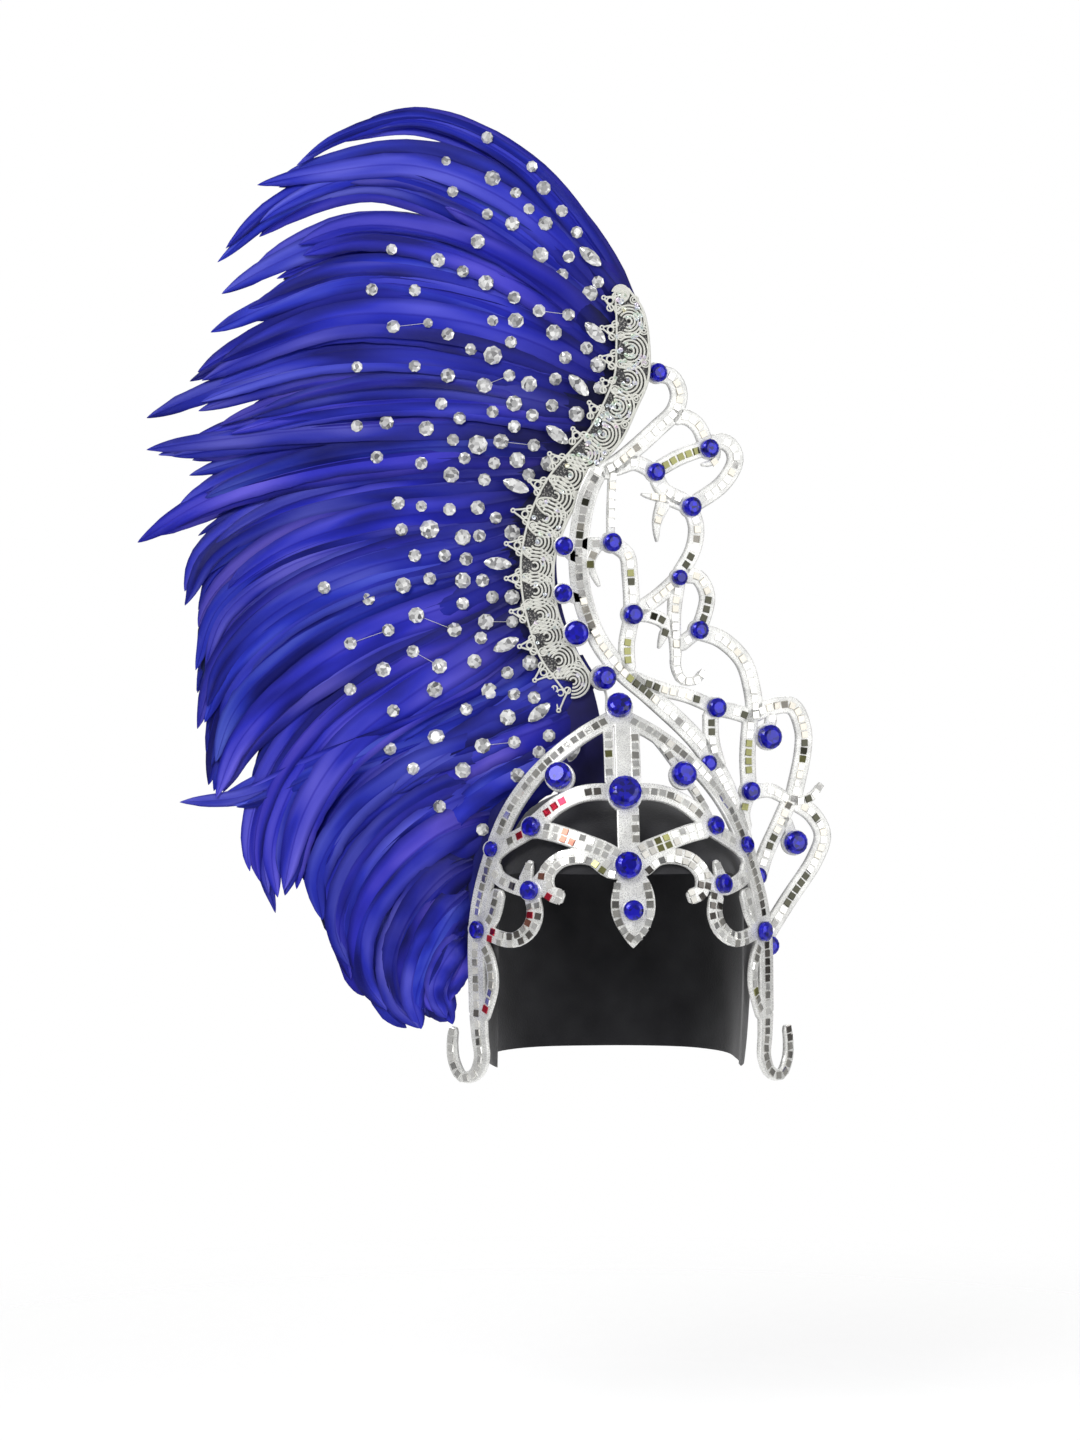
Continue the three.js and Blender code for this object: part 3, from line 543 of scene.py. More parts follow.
def joined_mesh(name, verts, faces, uvs=None, tints=None):
    """One mesh from lists of arrays of many small like things, each with its own faces."""
    starts = np.cumsum([0] + [len(v) for v in verts[:-1]])
    all_faces = [[start + corner for corner in face] for start, own in zip(starts, faces) for face in own]
    mesh = bpy.data.meshes.new(name)
    mesh.from_pydata(np.vstack(verts).tolist(), [], all_faces)
    corners = np.zeros(len(mesh.loops), np.int64)
    mesh.loops.foreach_get("vertex_index", corners)
    if uvs is not None:
        layer = mesh.uv_layers.new(name="UVMap")
        layer.data.foreach_set("uv", np.vstack(uvs)[corners].ravel())
    if tints is not None:
        layer = mesh.color_attributes.new("tint", "FLOAT_COLOR", "CORNER")
        values = np.vstack([np.tile([*tint, 1.0], (len(v), 1)) for tint, v in zip(tints, verts)])
        layer.data.foreach_set("color", values[corners].ravel())
    mesh.validate()
    thing = bpy.data.objects.new(name, mesh)
    bpy.context.scene.collection.objects.link(thing)
    return thing


print("finishing ready")


# %% [markdown]
# The tiara and the wing are drawn as strokes: a centre line with a width. A stroke starts as a grid, its
# points are laid along the line, and Solidify and Bevel give it its plate thickness and rounded edge.

# %% Strokes
WALL_SHARE = 0.96
ROUNDED_FROM = math.radians(50)


def thicken(plate, thickness):
    """Give a flat shape its plate thickness, on the side away from the front."""
    plate.data.update()
    wall = plate.modifiers.new("wall", "SOLIDIFY")
    wall.thickness = thickness * MM * WALL_SHARE
    wall.offset = -1 if sum(face.normal.y for face in plate.data.polygons) < 0 else 1


def round_edges(plate, width):
    rounding = plate.modifiers.new("rounding", "BEVEL")
    rounding.width = width * MM
    rounding.segments = 2
    rounding.limit_method = "ANGLE"
    rounding.angle_limit = ROUNDED_FROM


def ribbon(row, thickness, depth, step=3.0, edge=0.9):
    length = line_length(row["line"])
    count = max(4, int(length / step))
    line, _ = smooth_line(row["line"], count)
    _, across = normals_of(line)
    share = np.linspace(0, 1, count)
    half = row["width"] / 2 * (row.get("start", 1) * (1 - share) + row.get("end", 1) * share)
    half *= np.sqrt(np.clip(np.minimum(share, 1 - share) * length / 2.2 + 0.35, 0, 1))
    deselect_all()
    bpy.ops.mesh.primitive_grid_add(x_subdivisions=count - 1, y_subdivisions=2, size=1)
    strip = bpy.context.object
    place = np.zeros(len(strip.data.vertices) * 3)
    strip.data.vertices.foreach_get("co", place)
    place = place.reshape(-1, 3)
    station = np.rint((place[:, 0] + 0.5) * (count - 1)).astype(int)
    side = place[:, 1] * 2
    flat = line[station] + across[station] * (half[station] * side)[:, None]
    y = depth(flat[:, 0], flat[:, 1]) - thickness
    laid = np.column_stack([flat[:, 0], y, flat[:, 1] - SEAT_HEIGHT]) * MM
    strip.data.vertices.foreach_set("co", laid.ravel())
    thicken(strip, thickness)
    round_edges(strip, edge)
    apply_all(strip)
    return strip


def round_pad(x, z, radius, thickness, depth):
    deselect_all()
    bpy.ops.mesh.primitive_circle_add(vertices=24, radius=radius, fill_type="TRIFAN")
    pad = bpy.context.object
    for vertex in pad.data.vertices:
        px, pz = x + vertex.co.x, z + vertex.co.y
        vertex.co = Vector((px, depth(px, pz) - thickness - 0.15, pz - SEAT_HEIGHT)) * MM
    thicken(pad, thickness)
    round_edges(pad, 0.7)
    apply_all(pad)
    return pad


# Strokes of the tiara's left half, in x and height above the brow line, in millimetres.
TIARA_SIDES = [
    {"line": [(0, 84), (-25, 70), (-50, 49), (-68, 24), (-80, -8), (-87, -42), (-87, -100)], "width": 9.5},
    {"line": [(-2, 36), (-15, 37), (-28, 35), (-40, 29), (-56, 15)], "width": 10},
    {"line": [(0, -5), (-12, 2), (-25, 7), (-40, 12), (-54, 15)], "width": 11, "rows": 2},
    {"line": [(0, -10), (-10, -9), (-20, -2), (-30, -1), (-40, -4), (-47, -12), (-46, -22), (-37, -26)],
     "width": 9.5, "rows": 2},
    {"line": [(-54, 15), (-64, 9), (-73, 3), (-79, -3)], "width": 9},
    {"line": [(-46, -10), (-56, -22)], "width": 8},
    {"line": [(-60, -19), (-56, -4)], "width": 9, "end": 0.4},
    {"line": [(-79, -5), (-76, -14), (-68, -19), (-58, -22)], "width": 9},
    {"line": [(-56, -23), (-54, -36), (-58, -46), (-67, -52), (-78, -50), (-86, -46)], "width": 9, "rows": 2},
    {"line": [(-75, -22), (-78, -36), (-83, -48)], "width": 8},
    {"line": [(-85, -52), (-80, -65), (-78.5, -80), (-84, -102)], "width": 11, "start": 0.5, "end": 0.5},
    {"line": [(-87, -96), (-86, -112), (-85, -125), (-89, -135), (-96, -137), (-101, -128), (-102, -116),
              (-101, -107)], "width": 9.5, "end": 0.55},
]
TIARA_POST = [
    {"line": [(-8.5, 40), (-8.5, 84)], "width": 6},
    {"line": [(7.5, 40), (7.5, 82)], "width": 6},
    {"line": [(0.3, -12), (0.3, 86)], "width": 10, "rows": 0},
    {"line": [(6.2, 0), (6.2, 30)], "width": 5},
    {"line": [(9, 80), (22, 66), (36, 47), (46, 33), (55, 16)], "width": 4.6},
]
# Rows of tiles round the pendant's stone; they lie on the drop itself.
PENDANT_ROWS = [
    {"line": [(-5, -16), (-6.5, -30), (-3.5, -42), (4.5, -50), (12, -42), (14, -30), (12, -16)], "width": 6},
    {"line": [(4, -22), (4, -16)], "width": 6},
]


def mirrored(row):
    return {**row, "line": [(2 * (-0.3 - 0.018 * z) - x, z) for x, z in row["line"]]}


TIARA_STROKES = TIARA_SIDES + [mirrored(row) for row in TIARA_SIDES] + TIARA_POST
print("tiara strokes", len(TIARA_STROKES))


# %% [markdown]
# The wing's scrolls could be one long outline, but a list of strokes is how the pattern reads: a stem with
# curls that leave it. The same table feeds the plate and the tiles that are glued along it.

# %% Wing strokes
WING_STROKES = [
    {"line": [(-12, 232), (-20, 215), (-25, 185), (-23, 155), (-14, 130), (1, 110), (20, 94), (50, 66),
              (66, 42), (77, 12), (85, -20), (91, -57)], "width": 12},
    {"line": [(20, 291), (33, 289), (38, 279), (35, 268), (25, 258), (12, 246), (0, 236), (-12, 228)],
     "width": 11},
    {"line": [(33, 264), (42, 265), (50, 260), (56, 247)], "width": 10},
    {"line": [(22.5, 231), (38, 240), (56, 247)], "width": 10},
    {"line": [(-10, 230), (0, 233), (10, 236), (22, 231)], "width": 10},
    {"line": [(56, 247), (65, 251), (72, 247), (74, 239), (66, 225), (45, 210)], "width": 10.5},
    {"line": [(63, 246), (60, 238), (52, 236)], "width": 6, "end": 0.5},
    {"line": [(23, 229), (28, 220), (45, 212)], "width": 10},
    {"line": [(45, 210), (30, 214), (14, 217)], "width": 10, "end": 0.3},
    {"line": [(29, 214), (24, 200), (24, 188)], "width": 10, "end": 0.2},
    {"line": [(-4, 230), (-5, 205), (-5, 190)], "width": 5},
    {"line": [(-24, 186), (-16, 186), (-5, 187)], "width": 9},
    {"line": [(-12, 187), (-18, 174), (-12, 160)], "width": 7.5, "end": 0.4},
    {"line": [(-5, 187), (5, 180), (7, 168), (8, 143.5), (5, 125), (6, 108)], "width": 10},
    {"line": [(45, 210), (49, 198), (47, 184), (37.5, 167)], "width": 10},
    {"line": [(37.5, 166), (24, 154), (8, 143.5)], "width": 10},
    {"line": [(37.5, 166), (35, 145), (36, 120), (36, 112), (40, 104), (49, 104), (54, 110)],
     "width": 10, "end": 0.5},
    {"line": [(8, 143.5), (20, 143), (29, 139), (35, 130)], "width": 9},
    {"line": [(30, 136), (25, 123)], "width": 7.5, "end": 0.3},
    {"line": [(40, 168), (50, 167), (56, 156), (54, 144), (50, 134)], "width": 10},
    {"line": [(50, 134), (65, 129), (79, 116), (85, 98), (87, 80)], "width": 11},
    {"line": [(50, 134), (36, 123)], "width": 9},
    {"line": [(6, 106), (28, 98), (44, 94), (61, 87)], "width": 9},
    {"line": [(61, 87), (75, 84), (87, 80)], "width": 10},
    {"line": [(84, 84), (82, 58), (83, 35)], "width": 10},
    {"line": [(58, 86), (59, 66), (64, 48)], "width": 10},
    {"line": [(84, 82), (95, 87), (111, 88), (118, 74), (118, 60), (111, 28)], "width": 11},
    {"line": [(98, 84), (95, 69)], "width": 7.5},
    {"line": [(83, 35), (96, 36), (112, 29), (124, 32), (130, 40)], "width": 11, "end": 0.4},
    {"line": [(109, 29), (101, 12), (93, -5), (88, -22)], "width": 10.5},
    {"line": [(112, 29), (124, 21), (131, 8), (126, -7), (108, -33), (92, -57)], "width": 11},
    {"line": [(106, 20), (112, 3.5)], "width": 7.5},
    {"line": [(83, 35), (79, 22), (81, 10)], "width": 9},
    {"line": [(-25, 175), (-34, 184)], "width": 7.5, "rows": 0},
    {"line": [(-23, 152), (-34.5, 156)], "width": 7.5, "rows": 0},
    {"line": [(-16, 134), (-26.5, 132)], "width": 7.5, "rows": 0},
    {"line": [(1, 110), (-10, 105)], "width": 7.5, "rows": 0},
]
print("wing strokes", len(WING_STROKES))


# %% [markdown]
# A stone's place is already in the frame: its solid's points give the middle, the way it faces and its
# size. Reading them there is surer than typing the places a second time.

# %% Stone places
STONE_NODES = sorted(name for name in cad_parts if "_stone_" in name)


def stone_place(name):
    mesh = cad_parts[name].data
    points = np.zeros(len(mesh.vertices) * 3)
    mesh.vertices.foreach_get("co", points)
    points = points.reshape(-1, 3)
    middle = (points.max(0) + points.min(0)) / 2
    girdle = points - points.mean(0)
    facing = np.linalg.svd(girdle, full_matrices=False)[2][2]
    facing = facing if facing[1] < 0 else -facing
    height = points @ facing
    base = points[height < height.min() + 1e-5]
    centre = (base.max(0) + base.min(0)) / 2
    radius = np.linalg.norm(base - centre, axis=1).max()
    return centre, facing, radius


STONES = {name: stone_place(name) for name in STONE_NODES}
print("stones", len(STONES), "largest", round(max(r for _, _, r in STONES.values()) * 1000, 1), "mm")


# %% [markdown]
# On the real one each plate is cut from a single board. One long outline could be extruded, but strokes that
# are joined come from the same table as their tiles, so the two can't drift apart. A round pad goes under
# every stone.

# %% Plates
PAD_RIM = 1.0
# The pendant's drop: its middle, half its width, and how far it reaches up and down.
DROP_MIDDLE = (4, -30)
DROP_HALF_WIDTH = 13.2
DROP_UP, DROP_DOWN = 21, 25


def make_plate(strokes, prefix, thickness, depth):
    parts = [ribbon(row, thickness, depth) for row in strokes]
    for name, (centre, _, radius) in STONES.items():
        if name.startswith(prefix):
            x, z = centre[0] / MM, centre[2] / MM + SEAT_HEIGHT
            parts.append(round_pad(x, z, radius / MM + PAD_RIM, thickness, depth))
    return parts


def pendant_drop():
    deselect_all()
    bpy.ops.mesh.primitive_circle_add(vertices=40, radius=1, fill_type="TRIFAN")
    drop = bpy.context.object
    for vertex in drop.data.vertices:
        side, rise = vertex.co.x, vertex.co.y
        z = DROP_MIDDLE[1] + rise * (DROP_UP if rise > 0 else DROP_DOWN * (1 - 0.25 * abs(side)))
        x = DROP_MIDDLE[0] + side * DROP_HALF_WIDTH * (1 - 0.30 * max(0, -rise) ** 3)
        vertex.co = Vector((x, tiara_back(x, z) - TIARA_THICKNESS - 0.1, z - SEAT_HEIGHT)) * MM
    thicken(drop, TIARA_THICKNESS)
    apply_all(drop)
    return drop


tiara_parts = make_plate(TIARA_STROKES, "tiara", TIARA_THICKNESS, tiara_back) + [pendant_drop()]
tiara = join_all(tiara_parts)
outwards(tiara)
finish_piece(tiara, "tiara_plate", glitter, ["tiara"])
wing = join_all(make_plate(WING_STROKES, "wing", WING_THICKNESS, wing_back))
outwards(wing)
finish_piece(wing, "wing_plate", glitter, ["filigree_wing"])


# %% [markdown]
# Tiles are glued by hand in rows along each stroke, so no two lie quite flat or quite square. Each is a
# small block with a chamfered top, and a seeded draw tilts and tints it. A tile that would land on another,
# or under a stone, is left out.

# %% Tiles laid along the strokes
TILE = 4.5
TILE_GAP = 0.45
TILE_RISE = 0.7
TILE_LEAN = 0.08
SHARPEST_BEND = math.radians(55)
NEW_TINT_OVER = 0.45
TIARA_MIDDLE = -22
# Colours of the tiles and how many of a hundred have them, on the tiara's two halves and on the wing.
TILE_TINTS = {
    "left": [((0.93, 0.92, 0.89), 66), ((0.50, 0.49, 0.46), 12), ((0.16, 0.15, 0.14), 6),
             ((0.26, 0.11, 0.08), 9), ((0.55, 0.02, 0.05), 7)],
    "right": [((0.92, 0.92, 0.89), 52), ((0.45, 0.44, 0.41), 28), ((0.13, 0.12, 0.11), 12),
              ((0.30, 0.30, 0.12), 8)],
    "wing": [((0.93, 0.92, 0.89), 58), ((0.66, 0.63, 0.56), 20), ((0.07, 0.07, 0.05), 14),
             ((0.26, 0.26, 0.11), 8)],
}
TILE_FACES = [(0, 1, 2, 3), (4, 7, 6, 5), (0, 4, 5, 1), (1, 5, 6, 2), (2, 6, 7, 3), (3, 7, 4, 0)]


def surface_frame(x, z, direction, depth, thickness):
    """Place, tangent, sideways and outward directions on a plate's front, in metres."""
    def at(px, pz):
        return np.array([px, float(depth(px, pz)) - thickness, pz - SEAT_HEIGHT])
    along = at(x + direction[0], z + direction[1]) - at(x - direction[0], z - direction[1])
    along /= np.linalg.norm(along)
    side = at(x - direction[1], z + direction[0]) - at(x + direction[1], z - direction[0])
    outward = np.cross(side, along)
    outward /= np.linalg.norm(outward)
    outward *= -1 if outward[1] > 0 else 1
    side = np.cross(outward, along)
    return at(x, z) * MM, along, side, outward


def tile_block(spot, along, side, outward, size):
    half = size / 2 * MM
    turn = Quaternion(Vector(outward), rng.normal(0, 0.05))
    forward = Quaternion(Vector(along), rng.normal(0, TILE_LEAN))
    tilt = forward @ Quaternion(Vector(side), rng.normal(0, TILE_LEAN))
    spin = np.array((tilt @ turn).to_matrix())
    along, side, outward = spin @ along, spin @ side, spin @ outward
    corners = []
    for rise, inset in ((-0.3, 1.0), (TILE_RISE, 0.88)):
        for a, b in ((-1, -1), (1, -1), (1, 1), (-1, 1)):
            corners.append(spot + half * inset * (a * along + b * side) + outward * rise * MM)
    return np.array(corners)


def draw_tint(prefix, x):
    """A tile's colour; runs of one colour come from keeping the last draw."""
    table = TILE_TINTS["wing" if prefix == "wing" else "left" if x < TIARA_MIDDLE else "right"]
    shares = np.array([share for _, share in table], float)
    return table[rng.choice(len(table), p=shares / shares.sum())][0]


def lay_tiles(name, strokes, prefix, thickness, depth):
    taken = []
    stones = [(centre / MM + [0, 0, SEAT_HEIGHT], radius / MM)
              for stone, (centre, _, radius) in STONES.items() if stone.startswith(prefix)]
    blocks, tints = [], []
    for row in strokes:
        rows = row.get("rows", 1)
        length = line_length(row["line"])
        count = int((length - 2) / (TILE + TILE_GAP))
        if rows == 0 or count < 1:
            continue
        line, _ = smooth_line(row["line"], 2 * count + 1)
        tangent, across = normals_of(line)
        tint = draw_tint(prefix, line[0][0])
        for k in range(1, 2 * count, 2):
            share = k / (2 * count)
            width = row["width"] * (row.get("start", 1) * (1 - share) + row.get("end", 1) * share)
            bend = np.dot(tangent[max(0, k - 1)], tangent[min(2 * count, k + 1)])
            if width < TILE or bend < math.cos(SHARPEST_BEND):
                continue
            size = TILE if rows == 1 else TILE * 0.92
            for lane in ([0] if rows == 1 else [-0.5, 0.5]):
                spot = line[k] + across[k] * lane * (size + TILE_GAP)
                near_tile = any(np.hypot(*(spot - other)) < size * 0.98 for other in taken)
                near_stone = any(np.hypot(spot[0] - centre[0], spot[1] - centre[2]) < radius + size * 0.55
                                 for centre, radius in stones)
                if near_tile or near_stone:
                    continue
                taken.append(spot)
                if rng.random() > NEW_TINT_OVER:
                    tint = draw_tint(prefix, spot[0])
                frame_here = surface_frame(*spot, tangent[k], depth, thickness)
                blocks.append(tile_block(*frame_here, size))
                tints.append(np.clip(np.array(tint) * rng.uniform(0.85, 1.05), 0, 1))
    tiles = joined_mesh(name, blocks, [TILE_FACES] * len(blocks), tints=tints)
    outwards(tiles)
    print(name, len(blocks), "tiles")
    return finish_piece(tiles, name, mirror)


lay_tiles("tiara_tiles", TIARA_STROKES + PENDANT_ROWS, "tiara", TIARA_THICKNESS, tiara_back)
lay_tiles("wing_tiles", WING_STROKES, "wing", WING_THICKNESS, wing_back)


# %% [markdown]
# Every blue stone is the same cut in a few sizes: a low round stone with a ring of crown facets and a flat
# table. One is modelled, and a copy with its own mesh is set on each place.

# %% Blue stones
STONE_SIDES = 16
HALF_FACET = math.radians(180 / STONE_SIDES)


def cut_master():
    deselect_all()
    bpy.ops.mesh.primitive_cylinder_add(vertices=STONE_SIDES, radius=1, depth=0.5, location=(0, 0, 0.25))
    bpy.ops.object.mode_set(mode="EDIT")
    bpy.ops.mesh.select_all(action="DESELECT")
    bpy.ops.object.mode_set(mode="OBJECT")
    stone = bpy.context.object
    for face in stone.data.polygons:
        face.select = face.normal.z > 0.9
    bpy.ops.object.mode_set(mode="EDIT")
    bpy.ops.mesh.inset(thickness=0.2)
    bpy.ops.transform.translate(value=(0, 0, 0.2))
    bpy.ops.transform.rotate(value=HALF_FACET, orient_axis="Z", center_override=(0, 0, 0))
    bpy.ops.mesh.inset(thickness=0.22)
    bpy.ops.transform.translate(value=(0, 0, 0.1))
    bpy.ops.transform.rotate(value=HALF_FACET, orient_axis="Z", center_override=(0, 0, 0))
    bpy.ops.mesh.select_all(action="SELECT")
    bpy.ops.mesh.quads_convert_to_tris()
    bpy.ops.object.mode_set(mode="OBJECT")
    bpy.ops.object.transform_apply(location=True)
    return stone


master = cut_master()
for name, (centre, facing, radius) in STONES.items():
    stone = bpy.data.objects.new(name + "_cut", master.data.copy())
    bpy.context.scene.collection.objects.link(stone)
    turn = Vector(facing.tolist()).to_track_quat("Z", "Y") @ Quaternion((0, 0, 1), rng.uniform(0, 0.4))
    place = Matrix.Translation(Vector(centre.tolist())) @ turn.to_matrix().to_4x4() @ Matrix.Scale(radius, 4)
    stone.data.transform(place)
    finish_piece(stone, name + "_cut", blue_glass, [name])
bpy.data.objects.remove(master)


# %% [markdown]
# The fan is made of narrow satin plumes in bunches, every bunch drawn out to its own tips. A hair system
# could grow them, but here each plume is a thin closed blade: cupped, a little twisted, with a raised shaft
# and a ragged edge. The guide lines are those of the solids, and each guide carries a bunch.

# %% Plume guides
TOP_LOCKS = [
    {"line": [(8, 330), (-20, 372), (-62, 418), (-120, 445), (-170, 435), (-196, 419)], "width": 16},
    {"line": [(5, 322), (-28, 360), (-72, 396), (-125, 416), (-180, 413), (-220, 407)], "width": 25},
    {"line": [(3, 312), (-40, 354), (-95, 391), (-150, 408), (-205, 392), (-245, 361)], "width": 23},
    {"line": [(1, 301), (-45, 338), (-100, 366), (-160, 375), (-210, 358), (-242, 341)], "width": 26},
    {"line": [(0, 291), (-50, 322), (-105, 342), (-165, 348), (-215, 332), (-249, 318)], "width": 26},
    {"line": [(-2, 281), (-55, 306), (-110, 320), (-170, 322), (-225, 305), (-262, 288)], "width": 26},
    {"line": [(-6, 272), (-60, 290), (-115, 300), (-175, 300), (-235, 285), (-288, 264)], "width": 26},
    {"line": [(-12, 262), (-60, 272), (-120, 279), (-180, 274), (-230, 260), (-260, 249)], "width": 24},
]
SIDE_LOCKS = [
    {"line": [(-22, 250), (-70, 258), (-130, 260), (-190, 256), (-240, 248), (-288, 241)], "width": 24},
    {"line": [(-32, 240), (-80, 242), (-140, 240), (-200, 230), (-255, 212), (-295, 190)], "width": 28},
    {"line": [(-40, 228), (-90, 223), (-150, 219), (-210, 204), (-249, 180), (-265, 150)], "width": 26},
    {"line": [(-46, 215), (-95, 204), (-150, 197), (-208, 178), (-245, 148), (-258, 110)], "width": 28},
    {"line": [(-50, 200), (-100, 187), (-155, 176), (-210, 150), (-243, 116), (-257, 74)], "width": 28},
    {"line": [(-53, 185), (-100, 168), (-150, 152), (-201, 125), (-237, 88), (-252, 40)], "width": 28},
    {"line": [(-54, 170), (-100, 150), (-150, 131), (-197, 101), (-231, 66), (-246, 32)], "width": 28},
    {"line": [(-53, 155), (-95, 132), (-140, 108), (-180, 78), (-208, 40), (-219, 0), (-211, -39)],
     "width": 28},
    {"line": [(-50, 140), (-85, 118), (-125, 92), (-165, 60), (-190, 20), (-202, -28)], "width": 28},
    {"line": [(-45, 125), (-80, 92), (-130, 70), (-180, 52), (-230, 32), (-268, 28)], "width": 22},
]
LOW_LOCKS = [
    {"line": [(-45, 66), (-85, 62), (-129, 47), (-167, 17), (-183, -15), (-179, -42)], "width": 30},
    {"line": [(-58, 46), (-95, 37), (-131, 17), (-160, -15), (-170, -46), (-160, -78)], "width": 30},
    {"line": [(-70, 22), (-100, 12), (-131, -12), (-152, -45), (-154, -75), (-141, -97)], "width": 30},
    {"line": [(-81, 0), (-105, -10), (-127, -34), (-140, -67), (-137, -91), (-122, -108)], "width": 28},
    {"line": [(-89, -22), (-105, -36), (-120, -60), (-126, -86), (-120, -108)], "width": 26},
    {"line": [(-90, -50), (-102, -66), (-110, -86), (-101, -105)], "width": 22},
]
# Short plumes between the lace's foot and the tiara, where the fan is rooted behind both.
ROOT_LOCKS = [
    {"line": [(-18, 112), (-50, 92), (-88, 74), (-125, 52), (-152, 30)], "width": 30},
    {"line": [(-16, 88), (-44, 76), (-80, 62), (-112, 42), (-135, 18)], "width": 30},
    {"line": [(-18, 66), (-46, 58), (-78, 44), (-104, 22), (-120, -4)], "width": 30},
]
# Two plumes laid along the cap's side, from the crest down.
COVER_LINES = [[(-20, 88), (-44, 60), (-64, 32), (-80, 2), (-88, -40)],
               [(-16, 70), (-34, 58), (-50, 40), (-64, 20)]]
# How far the plumes between two neighbouring guides reach, from the top of the fan to its foot.
FILL_REACH = [0.42, 0.93, 0.50, 0.90, 0.90, 0.85, 0.85, 0.85, 0.90, 0.90, 0.95, 1, 1, 1, 0.88, 0.95,
              1, 1, 1, 1, 1, 1]
print("guides", len(TOP_LOCKS) + len(SIDE_LOCKS) + len(LOW_LOCKS))


# %% [markdown]
# One blade is a row of thin lens sections. Its first point across is one edge, its last the other, and
# three points behind close it. It lies flat at the root, where the lace covers it, and lifts and turns
# towards its tip.

# %% Plume blades
BLADE_STATIONS = 30
FRONT_ACROSS = np.array([-1, -0.66, -0.33, -0.06, 0, 0.06, 0.33, 0.66, 1])
BACK_ACROSS = np.array([0.5, 0, -0.5])
SHAFT_POINT = 4
FRONT_POINTS = len(FRONT_ACROSS)


def blade(path, width, lift, reach, cup, twist, root):
    """Points, faces and map of one plume along a path on the fan; reach is how much of it is covered."""
    last = max(60, int(len(path) * reach)) - 1
    u = 1 - (1 - np.linspace(0, 1, BLADE_STATIONS)) ** 1.5
    centre = np.column_stack([np.interp(u * last, np.arange(len(path)), path[:, k]) for k in (0, 1)])
    _, sideways = normals_of(centre)
    settled = np.clip(u / 0.22, 0, 1) ** 1.3
    half = width / 2 * np.sin(np.pi * (0.26 + 0.735 * u)) ** 0.42
    half *= np.sqrt(np.clip(1 - (np.clip(u - 0.92, 0, 1) / 0.08) ** 2, 0.01, 1))
    half *= root + (1 - root) * np.clip(u / 0.16, 0, 1) ** 0.7
    ragged = 1 + rng.normal(0, 0.03, (BLADE_STATIONS, 2))
    across = np.concatenate([FRONT_ACROSS, BACK_ACROSS])
    wide = np.tile(across, (BLADE_STATIONS, 1))
    wide[:, 0] *= ragged[:, 0]
    wide[:, FRONT_POINTS - 1] *= ragged[:, 1]
    shape = cup * (half * (0.3 + 0.7 * settled))[:, None] * (1 - wide ** 2)
    shape[:, SHAFT_POINT] += 0.25
    shape[:, FRONT_POINTS:] -= 0.35
    angle = (twist * np.sin(np.pi * u * 0.9) * settled)[:, None]
    off = half[:, None] * wide * np.cos(angle) - shape * np.sin(angle) * 0.3
    rise = shape * np.cos(angle) + half[:, None] * wide * np.sin(angle)
    x = centre[:, :1] + sideways[:, :1] * off
    z = centre[:, 1:] + sideways[:, 1:] * off
    y = fan_front(x, z) - (lift * settled)[:, None] - rise
    verts = np.stack([x, y, z - SEAT_HEIGHT], 2).reshape(-1, 3) * MM
    ring = len(across)
    faces = []
    for s in range(BLADE_STATIONS - 1):
        a = s * ring
        for k in range(ring):
            n = (k + 1) % ring
            faces.append((a + k, a + n, a + ring + n, a + ring + k))
    faces.append(tuple(range(ring - 1, -1, -1)))
    end = (BLADE_STATIONS - 1) * ring
    faces.append(tuple(end + k for k in range(ring)))
    uv = np.stack([np.repeat(u * reach, ring), np.tile(across, BLADE_STATIONS)], 1)
    return verts, faces, uv


print("points in a blade", BLADE_STATIONS * (FRONT_POINTS + len(BACK_ACROSS)))


# %% [markdown]
# A bunch has its own plumes on each guide, shorter ones between two guides, and wide ones underneath that
# close the fan. The colour of every plume is drawn too: bright royal or dull on top, and dark blue or
# green-black underneath, which is painted shade.

# %% Bunches
GUIDE_POINTS = 160
GUIDE_LANES = (-0.8, 0.75, -0.3, 0.35, 0.0)
# Dark tints of the plumes underneath and along the cap: painted shade in the depth of the fan.
SHADOW_TINTS = ((0.16, 0.22, 0.30), (0.10, 0.28, 0.14))
COVER_SHADE_TINT = (0.30, 0.35, 0.42)
DULL_TINT = (0.45, 0.55, 0.60)
DULL_SHARE = 0.12


def plume_on(path, spread_to, width, heights, reach, twist=0.30, root=0.4):
    u = np.linspace(0, 1, GUIDE_POINTS)
    _, sideways = normals_of(path)
    spread = np.sin(np.pi * (0.1 + 0.85 * u)) ** 0.6
    sway = rng.normal(0, 2.2) * np.sin(np.pi * u * rng.uniform(0.9, 1.8)) * u
    own = path + sideways * (spread_to * spread + sway)[:, None]
    lift = rng.uniform(*heights) + rng.uniform(-1.0, 3.0) * np.linspace(0, 1, BLADE_STATIONS) ** 2
    return blade(own, width, lift, reach, rng.uniform(0.10, 0.26), rng.normal(0, twist), root)


def royal_tint():
    tone = rng.uniform(0.75, 1.25)
    violet = rng.uniform(0.80, 1.30)
    return (tone * violet, tone * rng.uniform(0.85, 1.2), min(1.2, tone * rng.uniform(0.92, 1.08)))


def guide_bunch(row):
    path, _ = smooth_line(row["line"], GUIDE_POINTS)
    plumes, tints = [], []
    for lane in GUIDE_LANES:
        reach = 1.0 if lane == 0 else rng.uniform(0.80, 0.99)
        heights = (3.0, 5.5) if abs(lane) < 0.5 else (1.5, 4.0)
        width = row["width"] * rng.uniform(0.60, 0.86)
        plumes.append(plume_on(path, lane * 0.42 * row["width"], width, heights, reach))
        tints.append(royal_tint())
    return plumes, tints


